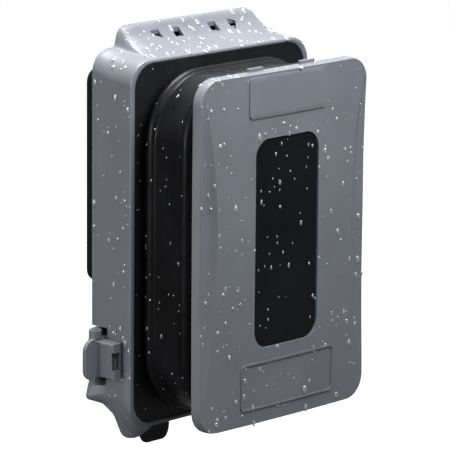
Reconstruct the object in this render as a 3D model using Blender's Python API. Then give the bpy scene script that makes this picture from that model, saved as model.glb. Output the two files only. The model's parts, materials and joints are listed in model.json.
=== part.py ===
"""Expandable in-use outlet cover: hood, bellows, sliding front panel, latch and base.

The frame is +Z up with the viewer on the -Y side. The origin is on the wall plane at the
centre of the device opening. All lengths are in metres.
"""

import math

import bmesh
import bpy
from mathutils import Matrix, Vector

MM = 0.001

# Clearances between neighbours
GAP = 0.3 * MM
RUN = 0.4 * MM

# Fineness of the curves
ARC_STEPS = 5
ROUND_SIDES = 20

# Gasket on the outlet box
GASKET_WIDTH = 121 * MM
BOX_SCREW_SPACING = 83.4 * MM
GASKET_END_BAND = 8.8 * MM
GASKET_HEIGHT = BOX_SCREW_SPACING + 2 * GASKET_END_BAND
GASKET_THICK = 3.3 * MM
GASKET_CORNER = 6 * MM
GASKET_HOLE_WIDTH = 52 * MM
GASKET_HOLE_HEIGHT = 76 * MM

# Ledge, flange and retainer that hold the bellows in the hood
LEDGE_WIDTH = 101 * MM
LEDGE_HEIGHT = 156 * MM
LEDGE_CORNER = 32 * MM
LEDGE_SIDE_BAND = 9 * MM
LEDGE_END_BAND = 9.5 * MM
LEDGE_THICK = 1.7 * MM
LEDGE_SETBACK = 3.6 * MM
FLANGE_THICK = 1.0 * MM
RETAINER_THICK = 1.3 * MM
RETAINER_SCREW_INSET = 3.6 * MM

# Hood shell
HOOD_DROP = 30.6 * MM
HOOD_DEPTH = 25 * MM
HOOD_WIDTH = LEDGE_WIDTH + 2 * LEDGE_SIDE_BAND
HOOD_HEIGHT = LEDGE_HEIGHT + 2 * LEDGE_END_BAND
HOOD_CORNER = 11.5 * MM
HOOD_WALL = 2.5 * MM
HOOD_SIDE_DRAFT = 1 * MM
HOOD_END_DRAFT = 2.8 * MM
HUMP_RISE = 9.8 * MM
HUMP_SHOULDER = 19.5 * MM
HUMP_HALF_WIDTH = HOOD_WIDTH / 2 - HUMP_SHOULDER
CROWN_SHOULDER = 15.3 * MM
CROWN_HALF_WIDTH = HOOD_WIDTH / 2 - CROWN_SHOULDER
CROWN_SLOPE_WIDTH = 2.2 * MM
CROWN_ROUND = 5 * MM
HUMP_FLAT_DEPTH = 2.2 * MM
STATION_STEP = 4 * MM
SLOPE_STATIONS = 4
RIM_ROUND = 1.2 * MM
SCALLOP_INSET = 12 * MM
SCALLOP_RISE = 8.5 * MM
EAR_REACH = 4.4 * MM
EAR_LENGTH = 11 * MM

# Moulded pockets on top of the hood
POCKET_WIDTH = 5.2 * MM
POCKET_LENGTH = 4.4 * MM
POCKET_SETBACK = 5.1 * MM
POCKET_WALL = 1.4 * MM
POCKET_SIDE = 18.7 * MM
POCKET_PITCH = 13.4 * MM
POCKET_OUTER_X = CROWN_HALF_WIDTH - POCKET_SIDE
POCKET_INNER_X = POCKET_OUTER_X - POCKET_PITCH

# Bellows
BELLOWS_WALL = 1.2 * MM
RIDGE_SIDE_REACH = 3.5 * MM
RIDGE_END_REACH = 3.75 * MM
BELLOWS_RIDGE_WIDTH = LEDGE_WIDTH + 2 * RIDGE_SIDE_REACH
BELLOWS_RIDGE_HEIGHT = LEDGE_HEIGHT + 2 * RIDGE_END_REACH
FIRST_RIDGE_SHARE = 0.165
SECOND_RIDGE_SHARE = 0.775
RIDGE_HALF_SHARE = 0.06
BELLOWS_GROOVE_DEPTH = 4.5 * MM
BELLOWS_BODY_INSET = 1.6 * MM
FLANGE_LAP = 1.5 * MM

# Front panel
PANEL_SIDE_INSET = 3.5 * MM
PANEL_END_INSET = 4.25 * MM
PANEL_WIDTH = HOOD_WIDTH - 2 * PANEL_SIDE_INSET
PANEL_HEIGHT = HOOD_HEIGHT - 2 * PANEL_END_INSET
PANEL_CORNER = 11.5 * MM
PANEL_THICK = 5 * MM
PANEL_CROWN = 2 * MM
PANEL_REACH = 36.5 * MM
PANEL_EDGE_ROUND = 1.6 * MM
WAIST_INSET = 2.2 * MM
SCOOP_WIDTH = 12 * MM
SCOOP_DEPTH = 2.3 * MM
SCOOP_RIM = 3 * MM
SCOOP_TOP = 9 * MM
SCOOP_BOTTOM = 16 * MM
SCOOP_CENTRE = 12 * MM
PANEL_POCKET_SIDE = 15 * MM
PANEL_POCKET_END = 10.25 * MM
PANEL_POCKET_WIDTH = PANEL_WIDTH - 2 * PANEL_POCKET_SIDE
PANEL_POCKET_HEIGHT = PANEL_HEIGHT - 2 * PANEL_POCKET_END
PANEL_POCKET_CORNER = 10 * MM
PANEL_POCKET_DEPTH = 3.3 * MM
TAB_WIDTH = 9.5 * MM
TAB_THICK = 1.9 * MM
TAB_RISE = 1.6 * MM
TAB_LEFT_X = 16.8 * MM
TAB_RIGHT_X = 17.6 * MM

# Window in the front panel
WINDOW_WIDTH = 42.5 * MM
WINDOW_HEIGHT = 99 * MM
WINDOW_CORNER = 8.5 * MM
WINDOW_RISE = 2.6 * MM
WINDOW_RECESS = 0.5 * MM
LENS_FLANGE = 3.8 * MM
LENS_FLANGE_THICK = 1.5 * MM
WINDOW_SEAL_THICK = 0.6 * MM

# Frame that clamps the bellows to the panel
CLAMP_CLEARANCE = 0.6 * MM
CLAMP_INSET = BELLOWS_GROOVE_DEPTH + BELLOWS_WALL + CLAMP_CLEARANCE
CLAMP_WIDTH = BELLOWS_RIDGE_WIDTH - 2 * CLAMP_INSET
CLAMP_HEIGHT = BELLOWS_RIDGE_HEIGHT - 2 * CLAMP_INSET
CLAMP_CORNER = 28 * MM
CLAMP_THICK = 2 * MM
CLAMP_STEP_MARGIN = 1 * MM
CLAMP_LIP = 1.5 * MM
CLAMP_SCREW_SIDE = 7 * MM
CLAMP_SCREW_END = 11 * MM
CLAMP_SCREW_X = PANEL_POCKET_WIDTH / 2 - CLAMP_SCREW_SIDE
CLAMP_SCREW_Z = PANEL_POCKET_HEIGHT / 2 - CLAMP_SCREW_END

# Base plate and what sits on it
BASE_CLEARANCE = 1.3 * MM
BASE_END_CLEARANCE = 1 * MM
BASE_WIDTH = HOOD_WIDTH - 2 * (HOOD_WALL + BASE_CLEARANCE)
BASE_HEIGHT = HOOD_HEIGHT - 2 * (HOOD_WALL + BASE_END_CLEARANCE)
BASE_CORNER = 10 * MM
BASE_THICK = 3 * MM
BASE_LIP = 5.5 * MM
BASE_LIP_WALL = 2.2 * MM
BASE_STEP_RISE = 5 * MM
BASE_STEP_INSET = 5 * MM
BASE_OPENING_WIDTH = 37 * MM
BASE_OPENING_HEIGHT = 70 * MM
STANDOFF_WALL = 2.5 * MM
INSERT_WIDTH = 50 * MM
INSERT_HEIGHT = 75.2 * MM
INSERT_THICK = 2.5 * MM
INSERT_SEAL_THICK = 0.8 * MM
INSERT_CORNER = 3 * MM
DEVICE_WIDTH = 33.5 * MM
DEVICE_HEIGHT = 67 * MM
DEVICE_CORNER = 1.5 * MM
BOX_SCREW_BEYOND = 6 * MM
INSERT_SCREW_X = 21.7 * MM

# Screws
BOX_SCREW_RADIUS = 1.75 * MM
BOX_HEAD_RADIUS = 3.4 * MM
SMALL_SCREW_RADIUS = 1.1 * MM
SMALL_HEAD_RADIUS = 2.2 * MM
HEAD_THICK = 1.6 * MM

# Hinge on the right
HINGE_REACH = 3.5 * MM
HINGE_X = HOOD_WIDTH / 2 + HINGE_REACH
HINGE_BACK = 8 * MM
KNUCKLE_RADIUS = 3.3 * MM
PIN_RADIUS = 1.25 * MM
BASE_KNUCKLE_LENGTH = 8 * MM
HOOD_KNUCKLE_LENGTH = 6 * MM
HINGE_SPREAD = 100 * MM
HINGE_NOTCH_DEPTH = 9 * MM

# Latch on the left
LATCH_Z = 54 * MM
LATCH_HEIGHT = 17.2 * MM
LATCH_REACH = 4.5 * MM
LATCH_PIVOT_X = HOOD_WIDTH / 2 + LATCH_REACH
LATCH_PIVOT_BACK = 9.5 * MM
LATCH_BARREL_COVER = 1.7 * MM
LATCH_OUTER_X = LATCH_PIVOT_X + LATCH_BARREL_COVER
LATCH_WALL = 2.2 * MM
LATCH_FRONT = 24 * MM
LATCH_WINDOW_HEIGHT = 8.6 * MM
LATCH_CATCH_CLEARANCE = 0.5 * MM
FINGER_REACH = 8.1 * MM
FINGER_THICK = 2.3 * MM
FINGER_HEIGHT = 19.9 * MM
FINGER_CHAMFER = 5 * MM
FINGER_FRONT = 14 * MM
EAR_THICK = 4 * MM
EAR_RADIUS = 3.1 * MM
CATCH_LENGTH = 3.4 * MM
CATCH_RISE = 1.7 * MM
CATCH_HEIGHT = 12 * MM
CATCH_DEPTH_SHARE = 0.62

# Cord exit and its flaps at the bottom of the hood
EXIT_WALL = 1.7 * MM
EXIT_HALF_WIDTH = HUMP_HALF_WIDTH - EXIT_WALL
EXIT_FRONT = 22.8 * MM
FLAP_THICK = 1.6 * MM
FLAP_BARREL_RADIUS = 1.3 * MM
FLAP_SIDE_GAP = 0.9 * MM
FLAP_OUTER_X = EXIT_HALF_WIDTH - FLAP_SIDE_GAP
FLAP_WIDTH = 19.1 * MM
FLAP_SHOULDER_REACH = 9.6 * MM
FLAP_INNER_X = FLAP_OUTER_X - FLAP_WIDTH
FLAP_SHOULDER_X = FLAP_INNER_X - FLAP_SHOULDER_REACH
FLAP_SHOULDER_LENGTH = 2.6 * MM
FLAP_LENGTH = 15.5 * MM
FLAP_CORNER = 4.5 * MM
FLAP_SLANT = math.radians(40)

# Places worked out from the sizes
HOOD_Z = -HOOD_DROP
HOOD_REAR = -(GASKET_THICK + GAP)
HOOD_FRONT = HOOD_REAR - HOOD_DEPTH
BASE_REAR = -(GASKET_THICK + GAP)
BASE_FRONT = BASE_REAR - BASE_THICK
PANEL_BACK = HOOD_FRONT - PANEL_REACH
PANEL_EDGE = PANEL_BACK - PANEL_THICK
LEDGE_REAR = HOOD_FRONT + LEDGE_SETBACK + LEDGE_THICK
LEDGE_FRONT = HOOD_FRONT + LEDGE_SETBACK
FLANGE_REAR = LEDGE_FRONT - GAP
FLANGE_FRONT = FLANGE_REAR - FLANGE_THICK
RETAINER_REAR = FLANGE_FRONT - GAP
RETAINER_FRONT = RETAINER_REAR - RETAINER_THICK
WINDOW_Z = HOOD_Z + WINDOW_RISE
LATCH_CENTRE_Z = HOOD_Z - LATCH_Z
HINGE_Y = -HINGE_BACK
LATCH_PIVOT_Y = -LATCH_PIVOT_BACK


def clear_scene():
    """Take every object out of the open scene."""
    for item in list(bpy.data.objects):
        bpy.data.objects.remove(item, do_unlink=True)


def make_material(name, colour, roughness, metallic=0.0, transmission=0.0):
    """Return a Principled material with one plain finish."""
    material = bpy.data.materials.new(name)
    material.use_nodes = True
    shader = material.node_tree.nodes["Principled BSDF"]
    shader.inputs["Base Color"].default_value = (*colour, 1.0)
    shader.inputs["Roughness"].default_value = roughness
    shader.inputs["Metallic"].default_value = metallic
    shader.inputs["Transmission Weight"].default_value = transmission
    return material


def add_object(name, mesh_data, material, location=(0.0, 0.0, 0.0)):
    """Put a bmesh into the scene as one named object with its faces pointing out."""
    bmesh.ops.recalc_face_normals(mesh_data, faces=mesh_data.faces)
    if mesh_data.calc_volume(signed=True) < 0:
        bmesh.ops.reverse_faces(mesh_data, faces=mesh_data.faces)
    bmesh.ops.translate(mesh_data, vec=-Vector(location), verts=mesh_data.verts)
    mesh = bpy.data.meshes.new(name)
    mesh_data.to_mesh(mesh)
    mesh_data.free()
    mesh.shade_smooth()
    mesh.set_sharp_from_angle(angle=math.radians(35))
    item = bpy.data.objects.new(name, mesh)
    item.location = location
    bpy.context.collection.objects.link(item)
    if material is not None:
        mesh.materials.append(material)
    return item


def rounded_path(corners, steps=ARC_STEPS):
    """Return the (x, z) points of a closed path whose corners are rounded by arcs.

    Each corner is (x, z, reach), where reach is how far from the corner the arc begins.
    """
    points = []
    count = len(corners)
    for index, (x, z, reach) in enumerate(corners):
        here = Vector((x, z))
        before = Vector(corners[index - 1][:2]) - here
        after = Vector(corners[(index + 1) % count][:2]) - here
        start = here + before.normalized() * reach
        end = here + after.normalized() * reach
        turn = before.normalized().dot(after.normalized())
        weight = math.sqrt(max(0.0, (1.0 - turn) / 2.0))
        for step in range(steps + 1):
            t = step / steps
            a, b, c = (1 - t) ** 2, 2 * t * (1 - t) * weight, t * t
            points.append((start * a + here * b + end * c) / (a + b + c))
    return points


def rounded_box(width, height, corner, x=0.0, z=0.0, steps=ARC_STEPS):
    """Return the points of a rounded rectangle, clockwise from its top right corner."""
    a, b = width / 2, height / 2
    corners = [(x + a, z + b, corner), (x + a, z - b, corner),
               (x - a, z - b, corner), (x - a, z + b, corner)]
    return rounded_path(corners, steps)


def loft(rings, closed_section=False):
    """Return a bmesh skinned over rings of equal point count.

    With closed_section the last ring joins the first, which makes a frame with a way through.
    """
    solid = bmesh.new()
    loops = [[solid.verts.new(point) for point in ring] for ring in rings]
    pairs = list(zip(loops, loops[1:]))
    if closed_section:
        pairs.append((loops[-1], loops[0]))
    else:
        solid.faces.new(loops[0])
        solid.faces.new(loops[-1])
    for first, second in pairs:
        size = len(first)
        for index in range(size):
            after = (index + 1) % size
            solid.faces.new((first[index], first[after], second[after], second[index]))
    return solid


def at_depth(path, y):
    """Lift a path of (x, z) points to the depth y."""
    return [Vector((point[0], y, point[1])) for point in path]


def prism(name, path, front, rear, material):
    """Make a plate of the given outline between two depths."""
    return add_object(name, loft([at_depth(path, front), at_depth(path, rear)]), material)


def frame_plate(name, outer, inner, front, rear, material):
    """Make a flat frame from an outer and an inner outline of equal point count."""
    rings = [at_depth(outer, rear), at_depth(outer, front), at_depth(inner, front), at_depth(inner, rear)]
    return add_object(name, loft(rings, closed_section=True), material)


def upright_prism(name, path, bottom, top, material):
    """Make a solid whose (x, y) outline runs from bottom to top."""
    rings = [[Vector((point[0], point[1], level)) for point in path] for level in (bottom, top)]
    return add_object(name, loft(rings), material)


def circle_path(x, y, radius, sides=ROUND_SIDES):
    """Return the points of a circle round (x, y)."""
    angles = [2 * math.pi * index / sides for index in range(sides)]
    return [(x + radius * math.cos(angle), y + radius * math.sin(angle)) for angle in angles]


def use_tool(target, tool, operation="DIFFERENCE"):
    """Cut the tool from the target, or weld it on, and hide the tool."""
    modifier = target.modifiers.new(tool.name, "BOOLEAN")
    modifier.operation = operation
    modifier.solver = "EXACT"
    modifier.object = tool
    tool.hide_render = True
    tool.display_type = "WIRE"


def hood_half(rear_share):
    """Return the right half of the hood's outer corners, from the top down.

    rear_share is 1 for the full humps and scallops of the rear edge, and 0 for the plain rim.
    """
    side = HOOD_WIDTH / 2 + HOOD_SIDE_DRAFT * rear_share
    end = HOOD_HEIGHT / 2 + HOOD_END_DRAFT * rear_share
    hump = end + HUMP_RISE * rear_share
    corner = HOOD_CORNER - HOOD_SIDE_DRAFT * rear_share
    ear_top = HOOD_HEIGHT / 2 - HOOD_CORNER - EAR_LENGTH
    ear_low = ear_top + EAR_LENGTH * (0.7 + 0.23 * rear_share)
    slope_x = CROWN_HALF_WIDTH + CROWN_SLOPE_WIDTH
    scallop_x = side - SCALLOP_INSET * rear_share
    scallop_z = end - SCALLOP_RISE * rear_share
    return [
        (CROWN_HALF_WIDTH, hump, CROWN_ROUND * (0.1 + 0.9 * rear_share)),
        (slope_x, end, 0.3 * MM + 1.8 * MM * rear_share),
        (side, end, corner),
        (side, -ear_top + 6 * MM, 2 * MM),
        (side + EAR_REACH * rear_share, -ear_low, 2.2 * MM),
        (scallop_x, -scallop_z, HOOD_CORNER * 0.94 - 4 * MM * rear_share),
        (HUMP_HALF_WIDTH, -hump, 5 * MM),
    ]


def mirror_half(half):
    """Return the whole closed run of corners from its right half."""
    left = [(-x, z, reach) for x, z, reach in reversed(half)]
    return half + left


def inner_half(outer, wall_side, wall_end):
    """Return the half outline that lies one wall inside the outer one."""
    side_limit = outer[2][0] - wall_side
    inner = []
    for x, z, reach in outer:
        inner_x = min(x, side_limit) if x > CROWN_HALF_WIDTH + CROWN_SLOPE_WIDTH else x - wall_side
        inner.append((inner_x, z - math.copysign(wall_end, z), reach))
    inner[3] = (side_limit, outer[3][1], outer[3][2])
    inner[4] = (side_limit, outer[4][1] + wall_end, outer[4][2])
    inner[5] = (min(outer[5][0] - wall_side, side_limit), outer[5][1] + wall_end, outer[5][2])
    return inner


def shift_down(half):
    """Move half an outline from the hood's own centre to its place."""
    return [(x, z + HOOD_Z, reach) for x, z, reach in half]


def hood_ring(half, y):
    """Return the ring of the hood at one depth."""
    return at_depth(rounded_path(mirror_half(shift_down(half))), y)


def ledge_half(width, height, corner):
    """Return a rounded rectangle with as many corners as the hood's outline has."""
    a, b = width / 2, height / 2
    reach = 2 * MM
    return [
        ((a - corner) * 0.5, b, reach),
        ((a - corner) * 0.8, b, reach),
        (a, b, corner),
        (a, -(b - corner) * 0.75, reach),
        (a, -(b - corner) * 0.9, reach),
        (a, -b, corner),
        ((a - corner) * 0.5, -b, reach),
    ]


def rear_share_at(distance):
    """Return how much of the rear form is left at a distance from the rear edge."""
    run = (distance - HUMP_FLAT_DEPTH) / (HOOD_DEPTH - HUMP_FLAT_DEPTH)
    run = min(1.0, max(0.0, run))
    return 0.5 + 0.5 * math.cos(math.pi * math.sqrt(run))


def build_hood(grey):
    """Build the hood shell with its humps, ledge, pockets, notches and hinge knuckles."""
    slope_stations = [HUMP_FLAT_DEPTH + step * STATION_STEP for step in range(1, SLOPE_STATIONS + 1)]
    outer_stations = [0.0, HUMP_FLAT_DEPTH / 2, HUMP_FLAT_DEPTH] + slope_stations + [HOOD_DEPTH - RIM_ROUND]
    rings = [hood_ring(hood_half(rear_share_at(place)), HOOD_REAR - place) for place in outer_stations]
    front = hood_half(0.0)
    draw_in = RIM_ROUND * 0.35
    rim = [(x - math.copysign(draw_in, x), z - math.copysign(draw_in, z), reach) for x, z, reach in front]
    rings.append(hood_ring(rim, HOOD_FRONT + RIM_ROUND * 0.25))
    mouth = inner_half(front, HOOD_WALL + 0.2 * MM, HOOD_WALL - 0.5 * MM)
    lip = inner_half(front, HOOD_WALL * 0.7, HOOD_WALL * 0.5)
    rings.append(hood_ring(lip, HOOD_FRONT))
    rings.append(hood_ring(mouth, HOOD_FRONT + RIM_ROUND * 0.4))
    rings.append(hood_ring(mouth, LEDGE_FRONT))
    ledge = ledge_half(LEDGE_WIDTH, LEDGE_HEIGHT, LEDGE_CORNER)
    rings.append(hood_ring(ledge, LEDGE_FRONT))
    rings.append(hood_ring(ledge, LEDGE_REAR))
    inner_stations = [place for place in slope_stations if place < HOOD_REAR - LEDGE_REAR - STATION_STEP / 2]
    for place in [HOOD_REAR - LEDGE_REAR] + inner_stations[::-1] + [HUMP_FLAT_DEPTH, 0.0]:
        inner = inner_half(hood_half(rear_share_at(place)), HOOD_WALL, HOOD_WALL)
        rings.append(hood_ring(inner, HOOD_REAR - place))
    hood = add_object("hood_shell", loft(rings, closed_section=True), grey)
    add_pockets(hood)
    cut_exit(hood)
    add_hood_hinges(hood)
    add_catch(hood)
    return hood


def hump_top():
    """Return the height of the flat top of the upper hump."""
    return HOOD_Z + HOOD_HEIGHT / 2 + HOOD_END_DRAFT + HUMP_RISE


def crown_height(distance):
    """Return the height of the upper hump at a distance from the rear edge."""
    return hump_top() - (HOOD_END_DRAFT + HUMP_RISE) * (1 - rear_share_at(distance))


def add_pockets(hood):
    """Notch four steps into the slope of the upper hump, each closed below by a wall of its own."""
    rear_place = POCKET_SETBACK
    front_place = POCKET_SETBACK + POCKET_LENGTH
    middle_place = (rear_place + front_place) / 2
    back_place = rear_place - POCKET_WALL
    sunk = HOOD_WALL / 2
    floor = crown_height(front_place)
    above = hump_top() + 2 * MM
    block_path = [(HOOD_REAR - back_place, crown_height(back_place) - sunk),
                  (HOOD_REAR - back_place, floor - POCKET_WALL),
                  (HOOD_REAR - front_place + sunk, floor - POCKET_WALL),
                  (HOOD_REAR - front_place, crown_height(front_place) - sunk),
                  (HOOD_REAR - middle_place, crown_height(middle_place) - sunk)]
    cut_path = [(HOOD_REAR - rear_place, above), (HOOD_REAR - rear_place, floor),
                (HOOD_REAR - front_place - 2 * MM, floor), (HOOD_REAR - front_place - 2 * MM, above)]
    for index, x in enumerate((-POCKET_OUTER_X, -POCKET_INNER_X, POCKET_INNER_X, POCKET_OUTER_X)):
        half = POCKET_WIDTH / 2
        outside = half + POCKET_WALL
        block = side_prism(f"pocket_block_{index}", block_path, x - outside, x + outside)
        use_tool(hood, block, "UNION")
        use_tool(hood, side_prism(f"pocket_cut_{index}", cut_path, x - half, x + half))


def side_prism(name, path, left, right, material=None):
    """Make a solid whose (y, z) outline runs from left to right."""
    rings = [[Vector((level, point[0], point[1])) for point in path] for level in (left, right)]
    return add_object(name, loft(rings), material)


def cut_exit(hood):
    """Open the rear of the lower hump for cords."""
    bottom = HOOD_Z - HOOD_HEIGHT / 2 - HOOD_END_DRAFT - HUMP_RISE - 5 * MM
    top = HOOD_Z - LEDGE_HEIGHT / 2 - 1 * MM
    rear = HOOD_REAR + 2 * MM
    path = [(rear, bottom), (rear, top), (-EXIT_FRONT, top), (-EXIT_FRONT, bottom)]
    use_tool(hood, side_prism("exit_cut", path, -EXIT_HALF_WIDTH, EXIT_HALF_WIDTH))


def hinge_heights():
    """Return the heights of the middle of the two hinges."""
    return [HOOD_Z + HINGE_SPREAD / 2, HOOD_Z - HINGE_SPREAD / 2]


def knuckle_path(attach_x):
    """Return the (x, y) outline of a knuckle that reaches back to attach_x."""
    arc = []
    for index in range(13):
        angle = math.radians(-90 + 15 * index)
        arc.append((HINGE_X + KNUCKLE_RADIUS * math.cos(angle), HINGE_Y + KNUCKLE_RADIUS * math.sin(angle)))
    return arc + [(attach_x, HINGE_Y + KNUCKLE_RADIUS), (attach_x, HINGE_Y - KNUCKLE_RADIUS)]


def add_hood_hinges(hood):
    """Notch the right wall for the base's knuckles and weld the hood's own beside them."""
    wall_x = HOOD_WIDTH / 2 + HOOD_SIDE_DRAFT
    near_x = wall_x - HOOD_WALL - 2 * MM
    far_x = wall_x + 4 * MM
    notch_front = HOOD_REAR - HINGE_NOTCH_DEPTH
    for index, z in enumerate(hinge_heights()):
        half = BASE_KNUCKLE_LENGTH / 2 + RUN
        notch = [(near_x, HOOD_REAR + 2 * MM), (far_x, HOOD_REAR + 2 * MM), (far_x, notch_front),
                 (near_x, notch_front)]
        for side in (-1, 1):
            near = z + side * half
            far = near + side * HOOD_KNUCKLE_LENGTH
            knuckle = upright_prism(f"hood_knuckle_{index}_{side + 1}", knuckle_path(wall_x - HOOD_WALL / 2),
                                    min(near, far), max(near, far), None)
            use_tool(hood, knuckle, "UNION")
        use_tool(hood, upright_prism(f"hinge_notch_{index}", notch, z - half, z + half, None))
        bore = circle_path(HINGE_X, HINGE_Y, PIN_RADIUS + GAP)
        reach = half + HOOD_KNUCKLE_LENGTH + 1 * MM
        use_tool(hood, upright_prism(f"hood_bore_{index}", bore, z - reach, z + reach, None))


def add_catch(hood):
    """Notch the left wall for the latch ears and add the nub that the latch catches."""
    wall_x = -(HOOD_WIDTH / 2 + HOOD_SIDE_DRAFT)
    half = LATCH_HEIGHT / 2 + RUN + EAR_THICK + 2 * RUN
    notch_front = LATCH_PIVOT_Y - EAR_RADIUS - 2 * RUN
    notch = [(wall_x - 8 * MM, HOOD_REAR + 2 * MM), (wall_x + HOOD_WALL + 2 * MM, HOOD_REAR + 2 * MM),
             (wall_x + HOOD_WALL + 2 * MM, notch_front), (wall_x - 8 * MM, notch_front)]
    use_tool(hood, upright_prism("latch_notch", notch, LATCH_CENTRE_Z - half, LATCH_CENTRE_Z + half, None))
    nub_rear = HOOD_REAR - HOOD_DEPTH * CATCH_DEPTH_SHARE
    nub_front = nub_rear - CATCH_LENGTH
    root = wall_x + HOOD_WALL / 2
    crest_x = wall_x - CATCH_RISE
    nub = [(root, nub_rear), (crest_x, nub_rear), (crest_x, nub_rear - CATCH_LENGTH * 0.3), (root, nub_front)]
    half_nub = min(CATCH_HEIGHT, LATCH_HEIGHT - 4 * MM) / 2
    low, high = LATCH_CENTRE_Z - half_nub, LATCH_CENTRE_Z + half_nub
    use_tool(hood, upright_prism("catch_nub", nub, low, high, None), "UNION")


def bellows_path(width, height, corner, ratio=1.0):
    """Return a rounded rectangle of the bellows at one depth, about the hood's centre."""
    return rounded_box(width, height, corner * ratio, 0.0, HOOD_Z, steps=8)


def bellows_outline():
    """Return the (depth, width, height, corner) rows of the outside of the bellows."""
    ridge_w, ridge_h = BELLOWS_RIDGE_WIDTH, BELLOWS_RIDGE_HEIGHT
    groove = 2 * BELLOWS_GROOVE_DEPTH
    body = 2 * BELLOWS_BODY_INSET
    neck_w, neck_h = ridge_w - groove, ridge_h - groove
    opening_w = LEDGE_WIDTH - 2 * GAP
    opening_h = LEDGE_HEIGHT - 2 * GAP
    span = PANEL_BACK - HOOD_FRONT
    first = HOOD_FRONT + span * FIRST_RIDGE_SHARE
    second = HOOD_FRONT + span * SECOND_RIDGE_SHARE
    half_ridge = span * RIDGE_HALF_SHARE
    corner = LEDGE_CORNER
    front_rear = PANEL_BACK + GAP + FLANGE_THICK
    return [
        (FLANGE_FRONT, opening_w, opening_h, corner),
        (HOOD_FRONT, neck_w, neck_h, corner - 1 * MM),
        (first - half_ridge, ridge_w - body, ridge_h - body, corner),
        (first, ridge_w, ridge_h, corner),
        (first + half_ridge, ridge_w - body, ridge_h - body, corner),
        (second - half_ridge, ridge_w - body, ridge_h - body, corner),
        (second, ridge_w, ridge_h, corner),
        (second + half_ridge, ridge_w - body, ridge_h - body, corner),
        (second + 2 * half_ridge, neck_w, neck_h, corner - 1 * MM),
        (front_rear, neck_w, neck_h, corner - 1 * MM),
    ]


def mouth_size(clearance):
    """Return the width, height and corner of what fits inside the hood's rim."""
    width = HOOD_WIDTH - 2 * (HOOD_WALL + 0.2 * MM) - 2 * clearance
    height = HOOD_HEIGHT - 2 * (HOOD_WALL - 0.5 * MM) - 2 * clearance
    return width, height, HOOD_CORNER - clearance


def build_bellows(black):
    """Build the one-piece bellows with a flange at each end and two rolled ridges."""
    rows = bellows_outline()
    wide, high, corner = mouth_size(GAP)
    rings = [at_depth(bellows_path(wide, high, corner), FLANGE_REAR),
             at_depth(bellows_path(wide, high, corner), FLANGE_FRONT)]
    rings += [at_depth(bellows_path(w, h, r), y) for y, w, h, r in rows]
    front_w = CLAMP_WIDTH + 2 * (BELLOWS_WALL + FLANGE_LAP)
    front_h = CLAMP_HEIGHT + 2 * (BELLOWS_WALL + FLANGE_LAP)
    panel_face = PANEL_BACK + GAP
    rings.append(at_depth(bellows_path(front_w, front_h, LEDGE_CORNER), panel_face + FLANGE_THICK))
    rings.append(at_depth(bellows_path(front_w, front_h, LEDGE_CORNER), panel_face))
    step = 2 * BELLOWS_WALL
    inner_w = clamp_step_width() + 2 * GAP
    inner_h = clamp_step_height() + 2 * GAP
    rings.append(at_depth(bellows_path(inner_w, inner_h, PANEL_POCKET_CORNER), panel_face))
    rings.append(at_depth(bellows_path(inner_w, inner_h, PANEL_POCKET_CORNER), panel_face + FLANGE_THICK))
    for y, w, h, r in reversed(rows[1:]):
        rings.append(at_depth(bellows_path(w - step, h - step, r - BELLOWS_WALL), y))
    _, wide, high, corner = rows[0]
    rings.append(at_depth(bellows_path(wide - step, high - step, corner - BELLOWS_WALL), FLANGE_REAR))
    return add_object("bellows", loft(rings, closed_section=True), black)


def build_retainer(black, steel):
    """Build the ring that presses the bellows' flange on the ledge, and its four screws."""
    wide, high, corner = mouth_size(GAP)
    outer = bellows_path(wide, high, corner)
    inner = bellows_path(LEDGE_WIDTH + 2 * GAP, LEDGE_HEIGHT + 2 * GAP, LEDGE_CORNER)
    retainer = frame_plate("bellows_retainer", outer, inner, RETAINER_FRONT, RETAINER_REAR, black)
    for index, (x, z) in enumerate(retainer_screw_places(), start=1):
        make_screw(f"retainer_screw_{index}", x, z, LEDGE_REAR + GAP, RETAINER_REAR - RETAINER_THICK * 0.6,
                   SMALL_SCREW_RADIUS, SMALL_HEAD_RADIUS, steel)
    return retainer


def retainer_screw_places():
    """Return the (x, z) places of the retainer's screws, in the wide corners of the ledge."""
    wide, high, _ = mouth_size(GAP)
    x = wide / 2 - SMALL_HEAD_RADIUS - RETAINER_SCREW_INSET
    z = high / 2 - SMALL_HEAD_RADIUS - RETAINER_SCREW_INSET
    return [(side * x, HOOD_Z + end * z) for side in (-1, 1) for end in (-1, 1)]


def make_screw(name, x, z, head_seat, tip, shank_radius, head_radius, material):
    """Make a pan-head screw whose head lies behind head_seat and whose shank points to tip."""
    away = 1 if head_seat > tip else -1
    rise = away * HEAD_THICK
    steps = [(head_seat + rise, head_radius * 0.7), (head_seat + rise * 0.6, head_radius),
             (head_seat, head_radius), (head_seat, shank_radius), (tip, shank_radius)]
    rings = [at_depth(circle_path(x, z, radius, 14), y) for y, radius in steps]
    return add_object(name, loft(rings), material)


def bore_for_screw(target, x, z, radius, front, rear):
    """Drill a hole through the target along Y."""
    name = f"{target.name}_bore_{len(target.modifiers)}"
    cutter = prism(name, circle_path(x, z, radius, 14), front, rear, None)
    use_tool(target, cutter)


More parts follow.
